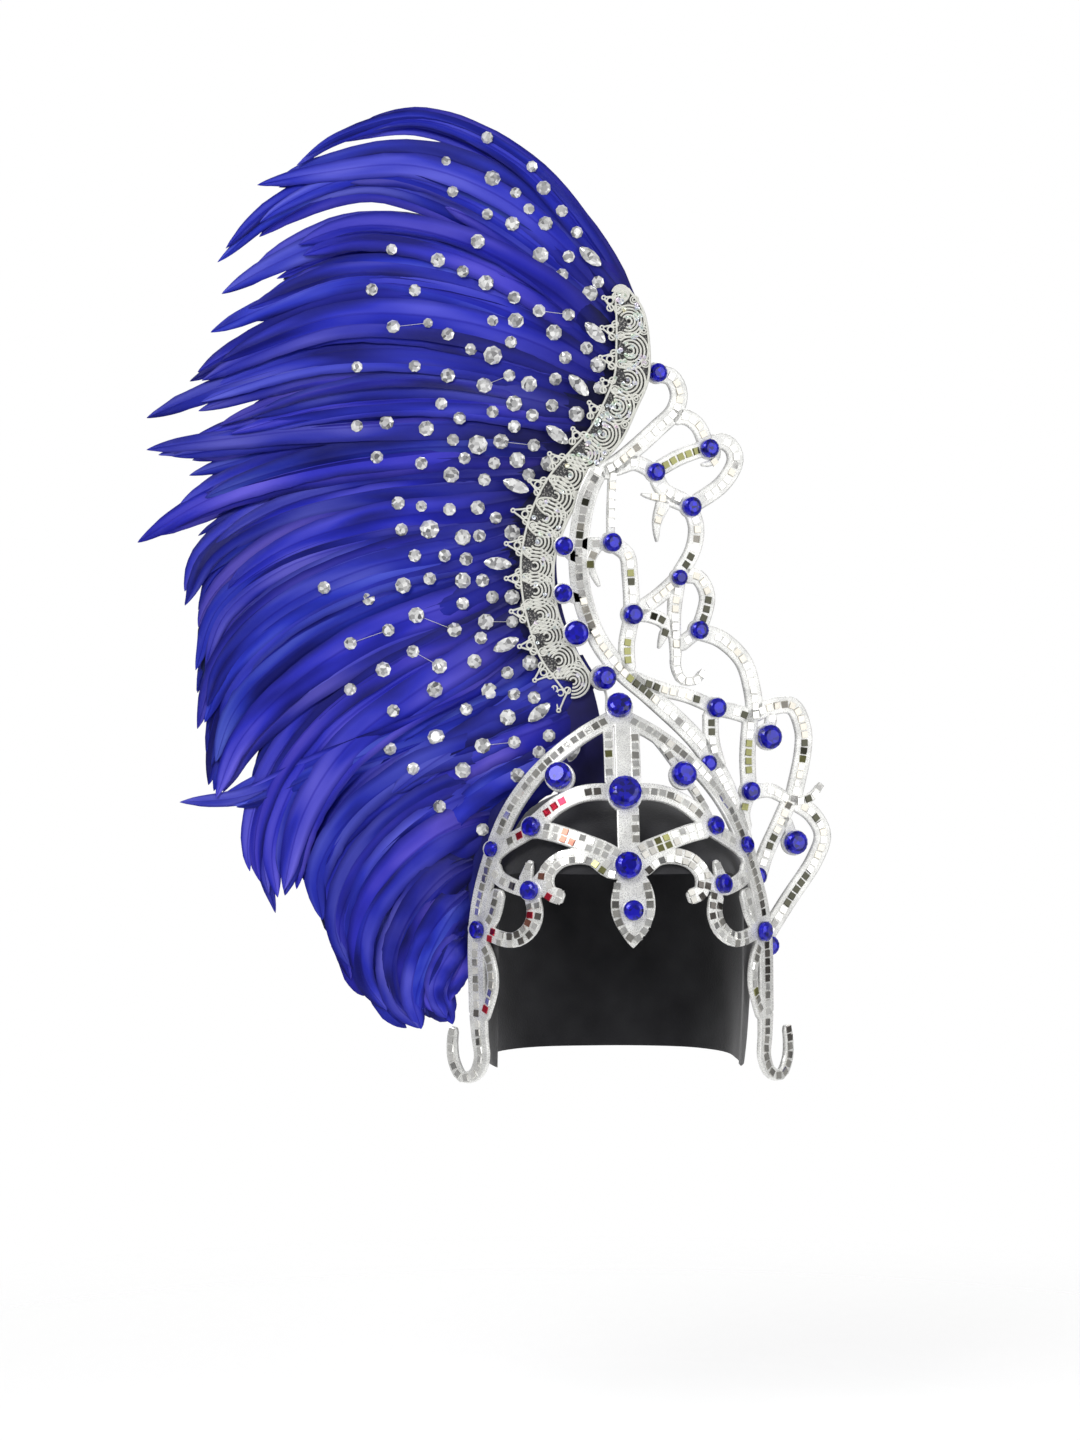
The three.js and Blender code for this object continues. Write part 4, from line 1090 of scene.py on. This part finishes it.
def fill_bunch(row, following, reach, under_width=1.0):
    first, _ = smooth_line(row["line"], GUIDE_POINTS)
    second, _ = smooth_line(following["line"], GUIDE_POINTS)
    plumes, tints = [], []
    for share in (0.5, 0.25, 0.75):
        path = first * (1 - share) + second * share
        under = under_width * rng.uniform(26, 34)
        plumes.append(plume_on(path, 0, under, (-0.6, 0.4), reach * 0.93, twist=0.05, root=1))
        # Plumes underneath take a dark tint: painted shade.
        tints.append(SHADOW_TINTS[0] if rng.random() < 0.5 else SHADOW_TINTS[1])
    for share in (0.2, 0.4, 0.6, 0.8):
        path = first * (1 - share) + second * share
        own_reach = reach * rng.uniform(0.88, 1.0)
        plumes.append(plume_on(path, 0, rng.uniform(12, 20), (0.6, 3.2), own_reach))
        tints.append(royal_tint() if rng.random() > DULL_SHARE else DULL_TINT)
    return plumes, tints


def cover_bunch():
    """Plumes that follow the cap's side and close the fan behind the tiara, tinted dark as painted shade."""
    paths = [smooth_line(line, GUIDE_POINTS)[0] for line in COVER_LINES]
    plumes = [plume_on(path, 0, 22, (0.0, 0.5), 1.0, twist=0.03, root=1) for path in paths]
    return plumes, [COVER_SHADE_TINT] * len(plumes)


def fan_group(name, bunches, nodes):
    plumes = [plume for bunch, _ in bunches for plume in bunch]
    tints = [tint for _, own in bunches for tint in own]
    verts, faces, uvs = zip(*plumes)
    fan = joined_mesh(name, list(verts), list(faces), uvs=list(uvs), tints=tints)
    outwards(fan)
    pick(fan)
    bpy.ops.object.shade_smooth_by_angle(angle=math.radians(70))
    print(name, len(plumes), "plumes")
    return finish_piece(fan, name, feather_blue, nodes)


round_the_fan = TOP_LOCKS + SIDE_LOCKS[:-1] + LOW_LOCKS
fills = []
for first, second, reach in zip(round_the_fan[:-1], round_the_fan[1:], FILL_REACH):
    fills.append(fill_bunch(first, second, reach, min(1.0, 0.45 + 0.12 * len(fills))))
top_fan = fan_group("top_plumes", fills[:8] + [guide_bunch(row) for row in TOP_LOCKS], ["feathers_top"])
side_fan = fan_group("side_plumes", fills[8:16] + [guide_bunch(row) for row in SIDE_LOCKS], ["feathers_side"])
low_bunches = [guide_bunch(row) for row in ROOT_LOCKS + LOW_LOCKS] + [cover_bunch()]
low_fan = fan_group("low_plumes", fills[16:] + low_bunches, ["feathers_low"])


# %% [markdown]
# Cords, loops and threads are all tubes along a line. Skinning a curve object would do it, but a tube made
# from points can carry a map that runs along it, which the twist of the cord follows.

# %% Tubes
TUBE_SIDES = 7


def tube(points, radius, closed=False, sides=TUBE_SIDES):
    """Verts, faces and map of one tube; its points are in metres, its radius in millimetres."""
    points = np.asarray(points, float)
    if closed:
        tangent = np.roll(points, -1, 0) - np.roll(points, 1, 0)
    else:
        tangent = np.gradient(points, axis=0)
    tangent /= np.linalg.norm(tangent, axis=1)[:, None]
    up = np.tile([0.0, 1.0, 0.0], (len(points), 1))
    side = np.cross(tangent, up)
    side /= np.maximum(np.linalg.norm(side, axis=1), 1e-9)[:, None]
    up = np.cross(side, tangent)
    turn = np.linspace(0, 2 * np.pi, sides, endpoint=False)
    ring = np.cos(turn)[None, :, None] * side[:, None, :] + np.sin(turn)[None, :, None] * up[:, None, :]
    verts = (points[:, None, :] + ring * radius * MM).reshape(-1, 3)
    faces = []
    last = len(points) if closed else len(points) - 1
    for s in range(last):
        a, b = s * sides, ((s + 1) % len(points)) * sides
        for k in range(sides):
            n = (k + 1) % sides
            faces.append((a + k, a + n, b + n, b + k))
    if not closed:
        faces.append(tuple(range(sides - 1, -1, -1)))
        faces.append(tuple((len(points) - 1) * sides + k for k in range(sides)))
    along = np.concatenate([[0], np.cumsum(np.linalg.norm(np.diff(points, axis=0), axis=1))])
    uv = np.stack([np.repeat(along / MM * 0.9, sides), np.tile(turn / (2 * np.pi), len(points))], 1)
    return verts, faces, uv


def tubes_piece(name, tubes, look, nodes=()):
    verts, faces, uvs = zip(*tubes)
    piece = joined_mesh(name, list(verts), list(faces), uvs=list(uvs))
    outwards(piece)
    pick(piece)
    bpy.ops.object.shade_smooth_by_angle(angle=math.radians(60))
    return finish_piece(piece, name, look, nodes)


print("tubes ready")


# %% [markdown]
# The trim is guipure lace: a net ground with shells of concentric cord, corded edges and picots of small
# loops.

# %% Lace edges
LACE_RIGHT = [(5, 341), (14, 328), (18, 305), (17, 285), (10, 268), (1, 249), (-13, 232), (-28, 208),
              (-39, 180), (-40, 160), (-36, 140), (-20, 110), (-9, 97), (-8, 88)]
LACE_VALLEYS = [(-3, 340), (-2, 324), (-2, 306), (-3, 289), (-9, 273), (-18, 256), (-31, 241), (-42, 228),
                (-51, 212), (-57, 194), (-60, 175), (-59, 155), (-54, 133), (-48, 117), (-39, 104), (-32, 95)]
PICOT_TIPS = [(-9, 335), (-10, 317), (-11, 299), (-10, 285), (-18, 271), (-28, 255), (-42, 240), (-54, 224),
              (-64, 206), (-68, 186), (-68, 165), (-65, 145), (-60, 124), (-51, 104), (-37, 86)]
LACE_FRONT = -46.9
SHELL_ROWS = 5
CORD_RADIUS = 0.68
EDGE_POINTS = 180
SHELL_STATIONS = np.linspace(3, 176, 17).round().astype(int)
RINGS_END = 170
RING_TURN = np.linspace(0, 2 * np.pi, 14, endpoint=False)
RING = np.column_stack([np.cos(RING_TURN), np.sin(RING_TURN)])


def on_lace(points, rise):
    points = np.asarray(points, float)
    depth = np.full(len(points), LACE_FRONT - rise)
    return np.column_stack([points[:, 0], depth, points[:, 1] - SEAT_HEIGHT]) * MM


def picot(valley, following, tip):
    """A pointed picot: a corded peak with one loop inside it and one at each foot."""
    valley, following, tip = (np.array(point, float) for point in (valley, following, tip))
    base = (valley + following) / 2
    out_way = (tip - base) / np.linalg.norm(tip - base)
    across = np.array([-out_way[1], out_way[0]])
    height = np.linalg.norm(tip - base)
    peak = [base + across * 5.2, base + across * 2.4 + out_way * height * 0.55, tip + across * 0.7,
            tip - across * 0.7, base - across * 2.4 + out_way * height * 0.55, base - across * 5.2]
    cords = [tube(on_lace(peak, 0.35), 0.62)]
    for lane, reach, radius in ((-1, 1.8, 1.9), (1, 1.8, 1.9), (0, 3.6, 1.9), (0, height + 0.8, 1.1)):
        middle = base + out_way * reach + across * lane * 4.0
        cords.append(tube(on_lace(middle + radius * RING, 0.4), 0.55, closed=True))
    return cords


def shell_arcs(centre, facing_way, size):
    arcs = []
    for k in range(SHELL_ROWS):
        radius = size * (k + 1) / SHELL_ROWS
        turn = np.linspace(-2.3, 2.3, 10 + 4 * k) + math.atan2(facing_way[1], facing_way[0])
        ring = np.asarray(centre) + radius * np.column_stack([np.cos(turn), np.sin(turn)])
        arcs.append(tube(on_lace(ring, 0.25 + 0.14 * (SHELL_ROWS - k)), CORD_RADIUS))
    return arcs


right_edge, _ = smooth_line(LACE_RIGHT, EDGE_POINTS)
left_edge, _ = smooth_line(LACE_VALLEYS, EDGE_POINTS)
cords = [tube(on_lace(right_edge, 0.3), 0.8), tube(on_lace(left_edge, 0.3), 0.7)]
for valley, following, tip in zip(LACE_VALLEYS[:-1], LACE_VALLEYS[1:], PICOT_TIPS):
    cords += picot(valley, following, tip)
for station in SHELL_STATIONS:
    edge = left_edge[station]
    opposite = np.argmin(np.linalg.norm(right_edge - edge, axis=1))
    nearest = right_edge[opposite]
    band = np.linalg.norm(nearest - edge)
    way = (nearest - edge) / band
    cords += shell_arcs(edge + way * 0.42 * band, way, 0.54 * band)
    if station < RINGS_END:
        corner = right_edge[min(EDGE_POINTS - 1, opposite + 5)] - way * 0.13 * band
        fillet = left_edge[station + 5] + way * 0.14 * band
        for spot in (corner, fillet):
            for radius in (1.1, 2.4):
                cords.append(tube(on_lace(spot + radius * RING, 0.5), 0.5, closed=True))
tubes_piece("lace_cords", cords, cord_silver)


# %% [markdown]
# The ground fills the band and each scallop behind its picot. It is one grid between the edges, so its
# threads follow the band.

# %% Lace ground
GROUND_ACROSS = 12
GROUND_END = 172


def lace_ground():
    deselect_all()
    bpy.ops.mesh.primitive_grid_add(x_subdivisions=GROUND_END - 1, y_subdivisions=GROUND_ACROSS, size=1)
    ground = bpy.context.object
    mesh = ground.data
    place = np.zeros(len(mesh.vertices) * 3)
    mesh.vertices.foreach_get("co", place)
    place = place.reshape(-1, 3)
    station = np.rint((place[:, 0] + 0.5) * (GROUND_END - 1)).astype(int)
    share = np.rint((place[:, 1] + 0.5) * GROUND_ACROSS) / GROUND_ACROSS
    valleys = np.array(LACE_VALLEYS, float)
    gap = np.linalg.norm(left_edge[:, None] - valleys[None], axis=2).min(1)
    scallop = left_edge - 0.42 * np.minimum(gap, 7)[:, None] * normals_of(left_edge)[1]
    flat = scallop[station] * (1 - share)[:, None] + right_edge[station] * share[:, None]
    place[:, 0] = flat[:, 0] * MM
    place[:, 1] = (LACE_FRONT + 0.5 + 0.18 * np.sin(station * 0.7)) * MM
    place[:, 2] = (flat[:, 1] - SEAT_HEIGHT) * MM
    mesh.vertices.foreach_set("co", place.ravel())
    mesh.update()
    return ground


ground = lace_ground()
ground = finish_piece(ground, "lace_ground", net, ["lace_trim"])


# %% [markdown]
# Pale sequins are sewn all over the lace. Each is a thin cupped disc that leans its own way, so that it
# glints on its own. They could be copies of one object, but hundreds of them are lighter as a single mesh.

# %% Sequins
SEQUIN_SIDES = 8
CROWDED_FROM = 232
CROWDED_SHARE, SPARSE_SHARE = 0.26, 0.05


def tilted_disc(spot, radius, thickness, way, lean):
    """A thin disc of a few faces; way is the direction it faces."""
    leant = Quaternion((1, 0, 0), lean[0]) @ Quaternion((0, 1, 0), lean[1])
    turn = Vector(way).to_track_quat("Z", "Y") @ leant
    angle = np.linspace(0, 2 * np.pi, SEQUIN_SIDES, endpoint=False)
    rim = np.column_stack([np.cos(angle), np.sin(angle), np.zeros(SEQUIN_SIDES)]) * radius
    top = rim * 0.45
    top[:, 2] = -thickness
    verts = np.vstack([rim + [0, 0, thickness], top, rim - [0, 0, thickness]])
    verts = verts @ np.array(turn.to_matrix()).T + spot
    n = SEQUIN_SIDES
    faces = [tuple(n + k for k in range(n)), tuple(2 * n + k for k in range(n - 1, -1, -1))]
    for k in range(n):
        nxt = (k + 1) % n
        faces += [(k, nxt, n + nxt, n + k), (2 * n + k, 2 * n + nxt, nxt, k)]
    return verts, faces


discs = []
for k in range(2, len(right_edge) - 2):
    for share in (0.12, 0.3, 0.48, 0.66, 0.84):
        if rng.random() < (CROWDED_SHARE if right_edge[k][1] > CROWDED_FROM else SPARSE_SHARE):
            spot = left_edge[k] * (1 - share) + right_edge[k] * share + rng.normal(0, 0.9, 2)
            y = LACE_FRONT - 0.9 - rng.uniform(0, 0.5)
            place = np.array([spot[0], y, spot[1] - SEAT_HEIGHT]) * MM
            size = rng.uniform(1.1, 1.7) * MM
            discs.append(tilted_disc(place, size, 0.12 * MM, (0, -1, 0), rng.normal(0, 0.3, 2)))
verts, faces = zip(*discs)
sequins = joined_mesh("lace_sequins", list(verts), list(faces))
outwards(sequins)
finish_piece(sequins, "lace_sequins", sequin)


# %% [markdown]
# Behind the lace stands the crest: a narrow board in navy velvet, a little domed, that carries lace, plumes
# and wing. It is one wide stroke with a soft edge.

# %% Crest
CREST_LINE = [(4, 333), (7, 305), (4, 280), (-8, 255), (-24, 236), (-38, 214), (-47, 188), (-48, 160),
              (-42, 130), (-30, 100), (-24, 70), (-22, 30)]
CREST_THICKNESS = 3
crest_row = {"line": CREST_LINE, "width": 17, "start": 0.5, "end": 1.8}
crest = ribbon(crest_row, CREST_THICKNESS, flat_at(CREST_FRONT + CREST_THICKNESS), edge=1.2)
outwards(crest)
pick(crest)
bpy.ops.object.shade_smooth_by_angle(angle=math.radians(40))
finish_piece(crest, "velvet_crest", velvet, ["crest_plate"])


# %% [markdown]
# The cap is blocked felt: a dome with flaps at the sides and back, open at the front. A sphere is laid on
# the block's shape, thickened, and the front opening is cut out of it.

# %% Felt cap
CAP_HALF = (85.0, 100.0, 90.0)
CAP_GIRTH = -45.0
CAP_CROWN = 39.0
CAP_BOTTOM = -131.0
CAP_POWER = 2.6
CAP_WALL = 3.0
CAP_RINGS = 32
OPENING_WIDTH = 148
OPENING_BACK, OPENING_FRONT = 12, -120
OPENING_TOP, OPENING_FOOT = -12, -200


def block_shape(angle, level):
    """A point of the cap; level 1 is the crown, 0 the girth and -1 the lower edge."""
    across, deep = math.sin(angle), -math.cos(angle)
    reach = (abs(across) ** CAP_POWER + abs(deep) ** CAP_POWER) ** (-1 / CAP_POWER)
    front_or_back = CAP_HALF[1] if deep < 0 else CAP_HALF[2]
    if level >= 0:
        shrink = math.cos(level * math.pi / 2) ** 0.86
        height = CAP_GIRTH + (CAP_CROWN - CAP_GIRTH) * math.sin(level * math.pi / 2)
    else:
        shrink = 1 - 0.07 * level ** 2
        height = CAP_GIRTH - (CAP_GIRTH - CAP_BOTTOM) * -level
    fold = 1 + 0.006 * math.sin(5 * angle + 3 * level) * (1 - abs(level))
    fold += 0.004 * math.sin(11 * angle - 6 * level)
    x = across * reach * CAP_HALF[0] * shrink * fold
    y = deep * reach * front_or_back * shrink * fold
    return Vector((x, y, height - SEAT_HEIGHT)) * MM


def make_cap():
    deselect_all()
    bpy.ops.mesh.primitive_uv_sphere_add(segments=72, ring_count=CAP_RINGS, radius=1)
    cap = bpy.context.object
    pole = [vertex.index for vertex in cap.data.vertices if vertex.co.z < -0.9999]
    last_ring = 1 - 2 / CAP_RINGS
    for vertex in cap.data.vertices:
        spot = vertex.co.copy()
        tilt = math.asin(max(-1, min(1, spot.z))) / (math.pi / 2)
        level = tilt if tilt >= 0 else tilt / last_ring
        vertex.co = block_shape(math.atan2(spot.x, -spot.y), level)
    bpy.ops.object.mode_set(mode="EDIT")
    bpy.ops.mesh.select_mode(type="VERT")
    bpy.ops.mesh.select_all(action="DESELECT")
    bpy.ops.object.mode_set(mode="OBJECT")
    for index in pole:
        cap.data.vertices[index].select = True
    bpy.ops.object.mode_set(mode="EDIT")
    bpy.ops.mesh.delete(type="VERT")
    bpy.ops.object.mode_set(mode="OBJECT")
    wall = cap.modifiers.new("wall", "SOLIDIFY")
    wall.thickness = CAP_WALL * MM
    wall.offset = -1
    apply_all(cap)
    return cap


def cut_front(cap):
    deselect_all()
    bpy.ops.mesh.primitive_cube_add(size=1)
    cutter = bpy.context.object
    for vertex in cutter.data.vertices:
        x, y, z = vertex.co
        depth = OPENING_FRONT if y < 0 else OPENING_BACK
        height = OPENING_TOP if z > 0 else OPENING_FOOT
        vertex.co = Vector((x * OPENING_WIDTH, depth, height - SEAT_HEIGHT)) * MM
    corner = cutter.modifiers.new("corner", "BEVEL")
    corner.width = 12 * MM
    corner.segments = 4
    apply_all(cutter)
    pick(cap)
    opening = cap.modifiers.new("opening", "BOOLEAN")
    opening.object = cutter
    opening.solver = "EXACT"
    apply_all(cap)
    bpy.data.objects.remove(cutter)
    pick(cap)
    bpy.ops.object.shade_smooth_by_angle(angle=math.radians(50))
    return cap


cap = cut_front(make_cap())
finish_piece(cap, "felt_cap", felt, ["cap"])


# %% [markdown]
# Clear crystals are glued all over the fan, with pointed marquises where the lace ends. The solids carry
# only the largest. Their places are a list of x, z and radius in millimetres, as on the real fan.

# %% Crystal places
ROUND_CRYSTALS = [
    (-80, 433, 3.8), (-105, 419, 3), (-53, 415, 3.5), (-77, 408, 5), (-46, 402, 4.5), (-63, 399, 3.5),
    (-101, 400, 3.5), (-55, 389, 3.5), (-35, 388, 3.8), (-80, 386, 3.5), (-65, 380, 4.5), (-45, 380, 4.5),
    (-26, 375, 3.8), (-86, 369, 4.5), (-48, 361, 5), (-31, 360, 3.8), (-35, 349, 4), (-110, 358, 4.5),
    (-138, 365, 3.5), (-95, 351, 3.8), (-81, 344, 4.8), (-13, 345, 3.8), (-18, 338, 5), (-64, 335, 4),
    (-124, 340, 3.8), (-150, 341, 3.8), (-49, 327, 4), (-31, 325, 4), (-63, 321, 5), (-77, 321, 3.5),
    (-40, 314, 5), (-66, 308, 3.8), (-20, 305, 4), (-137, 318, 4.2), (-116, 320, 3), (-104, 313, 4),
    (-90, 304, 3.8), (-77, 300, 5.8), (-33, 299, 4), (-13, 295, 5), (-159, 294, 3.5), (-124, 294, 3.8),
    (-67, 288, 3.8), (-39, 286, 4), (-55, 283, 5), (-104, 288, 4.5), (-12, 281, 4), (-82, 282, 5),
    (-108, 271, 3.8), (-64, 271, 5), (-41, 270, 4), (-77, 266, 3.8), (-53, 264, 4), (-97, 262, 4),
    (-26, 265, 5), (-64, 257, 4), (-141, 260, 4.5), (-159, 258, 3.8), (-117, 256, 4.8), (-72, 248, 4.8),
    (-52, 246, 4), (-101, 249, 3.8), (-86, 246, 6), (-147, 239, 4), (-120, 235, 4), (-94, 238, 3.8),
    (-76, 235, 3.8), (-62, 237, 5), (-43, 235, 5), (-102, 228, 5), (-82, 225, 4), (-55, 228, 4),
    (-134, 211, 4.2), (-120, 209, 3.5), (-103, 207, 4), (-86, 208, 4.5), (-75, 202, 3.8), (-132, 195, 4),
    (-115, 195, 6), (-95, 190, 5), (-85, 191, 4), (-65, 193, 5), (-124, 179, 4), (-106, 179, 4),
    (-93, 177, 4.2), (-179, 160, 4), (-131, 161, 5), (-115, 165, 4), (-95, 164, 5), (-83, 164, 4.2),
    (-152, 153, 4), (-77, 154, 4), (-65, 154, 4.8), (-95, 150, 4), (-123, 143, 5), (-81, 139, 5),
    (-65, 139, 3.8), (-140, 134, 4), (-100, 134, 4.5), (-84, 129, 4), (-163, 126, 4), (-125, 121, 4),
    (-109, 112, 4.8), (-88, 115, 4.5), (-54, 114, 5), (-143, 110, 4.8), (-68, 108, 4), (-112, 98, 5),
    (-79, 97, 5), (-64, 95, 4), (-52, 93, 4), (-163, 98, 4), (-93, 86, 4), (-68, 81, 5), (-137, 85, 4),
    (-111, 69, 5.3), (-43, 70, 4), (-64, 66, 4), (-83, 64, 5), (-139, 62, 4), (-125, 50, 4), (-95, 49, 5),
    (-109, 27, 4), (-49, 60, 4), (-83, 13, 4), (-62, 46, 4.5), (-57, 40, 5),
]
# Middle, turn in degrees, of each marquise.
MARQUISES = [(-18, 360, -40), (-15, 314, -45), (-25, 282, -47), (-38, 252, -38), (-63, 221, -22),
             (-74, 174, -5), (-69, 125, 25), (-49, 84, 40), (-28, 62, 70)]
MARQUISE_HALF = (8.5, 3.9)
MARQUISE_DEPTH = -0.0475
MARQUISE_HEIGHT = 2.2
print("crystals", len(ROUND_CRYSTALS), "marquises", len(MARQUISES))


# %% [markdown]
# A crystal is glued flat, so each one takes the depth of the plume under it and leans a little with it. A
# ray from the front finds both.

# %% Crystals on the fan
bpy.context.view_layer.update()
FAN_GROUPS = (top_fan, side_fan, low_fan)


def drop_on_fan(x, z):
    """Depth and facing of the fan's front at a place; clear air gives the fan's own surface."""
    start = Vector((x * MM, -0.5, (z - SEAT_HEIGHT) * MM))
    best, way = float(fan_front(x, z)) * MM - 0.002, Vector((0, -1, 0))
    for group in FAN_GROUPS:
        hit, spot, normal, _ = group.ray_cast(start, Vector((0, 1, 0)))
        if hit and spot.y < best:
            best, way = spot.y, normal
    return best, way


def cut_crystal(outline, height, spot, way):
    """A low cut stone: rim, crown and table from one outline, flat behind."""
    turn = np.array(Vector(way).to_track_quat("Z", "Y").to_matrix())
    n = len(outline)
    flat = np.column_stack([outline, np.zeros(n)])
    crown = np.column_stack([(outline + np.roll(outline, -1, 0)) / 2 * 0.62, np.full(n, height)])
    verts = np.vstack([flat - [0, 0, 0.3], flat + [0, 0, height * 0.35], crown]) @ turn.T * MM + spot
    faces = [tuple(range(n - 1, -1, -1)), tuple(2 * n + k for k in range(n))]
    for k in range(n):
        nxt = (k + 1) % n
        faces += [(k, nxt, n + nxt, n + k), (n + k, n + nxt, 2 * n + k), (n + nxt, 2 * n + nxt, 2 * n + k)]
    return verts, faces


def lean_forward(way, share):
    way = Vector(way) * share + Vector((0, -1, 0)) * (1 - share)
    return (way + Vector(rng.normal(0, 0.07, 3))).normalized()


stones = []
for x, z, radius in ROUND_CRYSTALS:
    depth_there, way = drop_on_fan(x, z)
    turn = np.linspace(0, 2 * np.pi, 8, endpoint=False) + rng.uniform(0, 0.7)
    rim = radius * np.column_stack([np.cos(turn), np.sin(turn)])
    spot = np.array([x * MM, depth_there - 0.0003, (z - SEAT_HEIGHT) * MM])
    stones.append(cut_crystal(rim, radius * 0.52, spot, lean_forward(way, 0.5)))
for x, z, degrees in MARQUISES:
    depth_there, way = drop_on_fan(x, z)
    turn = np.linspace(0, 2 * np.pi, 12, endpoint=False)
    along = MARQUISE_HALF[0] * np.cos(turn)
    across = MARQUISE_HALF[1] * np.sin(turn) * np.abs(np.sin(turn)) ** 0.35
    lean = math.radians(degrees)
    rim = np.column_stack([along * math.cos(lean) - across * math.sin(lean),
                           along * math.sin(lean) + across * math.cos(lean)])
    spot = np.array([x * MM, min(depth_there, MARQUISE_DEPTH) - 0.0006, (z - SEAT_HEIGHT) * MM])
    stones.append(cut_crystal(rim, MARQUISE_HEIGHT, spot, (0, -1, 0)))
verts, faces = zip(*stones)
crystals = joined_mesh("fan_crystals", list(verts), list(faces))
outwards(crystals)
finish_piece(crystals, "fan_crystals", crystal, ["rhinestone_field"])


# %% [markdown]
# Fine silver threads run from the lace out between the crystals. Each is a hair-thin tube that follows the
# plumes from one crystal to the next.

# %% Silver threads
THREAD_RADIUS = 0.15
THREAD_REACH = 30
THREAD_SHARE = 0.12


def thread_between(start, end):
    points = []
    for share in np.linspace(0, 1, 9):
        x, z = np.array(start) * (1 - share) + np.array(end) * share
        points.append([x, drop_on_fan(x, z)[0] / MM - 0.3, z - SEAT_HEIGHT])
    points = np.array(points)
    points[1:-1, 1] = np.minimum(points[1:-1, 1], (points[:-2, 1] + points[2:, 1]) / 2)
    return tube(points * MM, THREAD_RADIUS, sides=5)


threads = []
places = np.array([row[:2] for row in ROUND_CRYSTALS], float)
for x, z, radius in ROUND_CRYSTALS:
    gaps = places - (x, z)
    away = np.linalg.norm(gaps, axis=1)
    inward = (gaps[:, 0] > 6) & (away < THREAD_REACH) & (abs(gaps[:, 1]) < 0.9 * abs(gaps[:, 0]))
    if inward.any() and rng.random() < THREAD_SHARE:
        nearest = places[inward][np.argmin(away[inward])]
        threads.append(thread_between((x, z), nearest))
tubes_piece("fan_threads", threads, cord_silver)


# %% [markdown]
# The last step brings the scene up to date.

# %% Finish
bpy.context.view_layer.update()
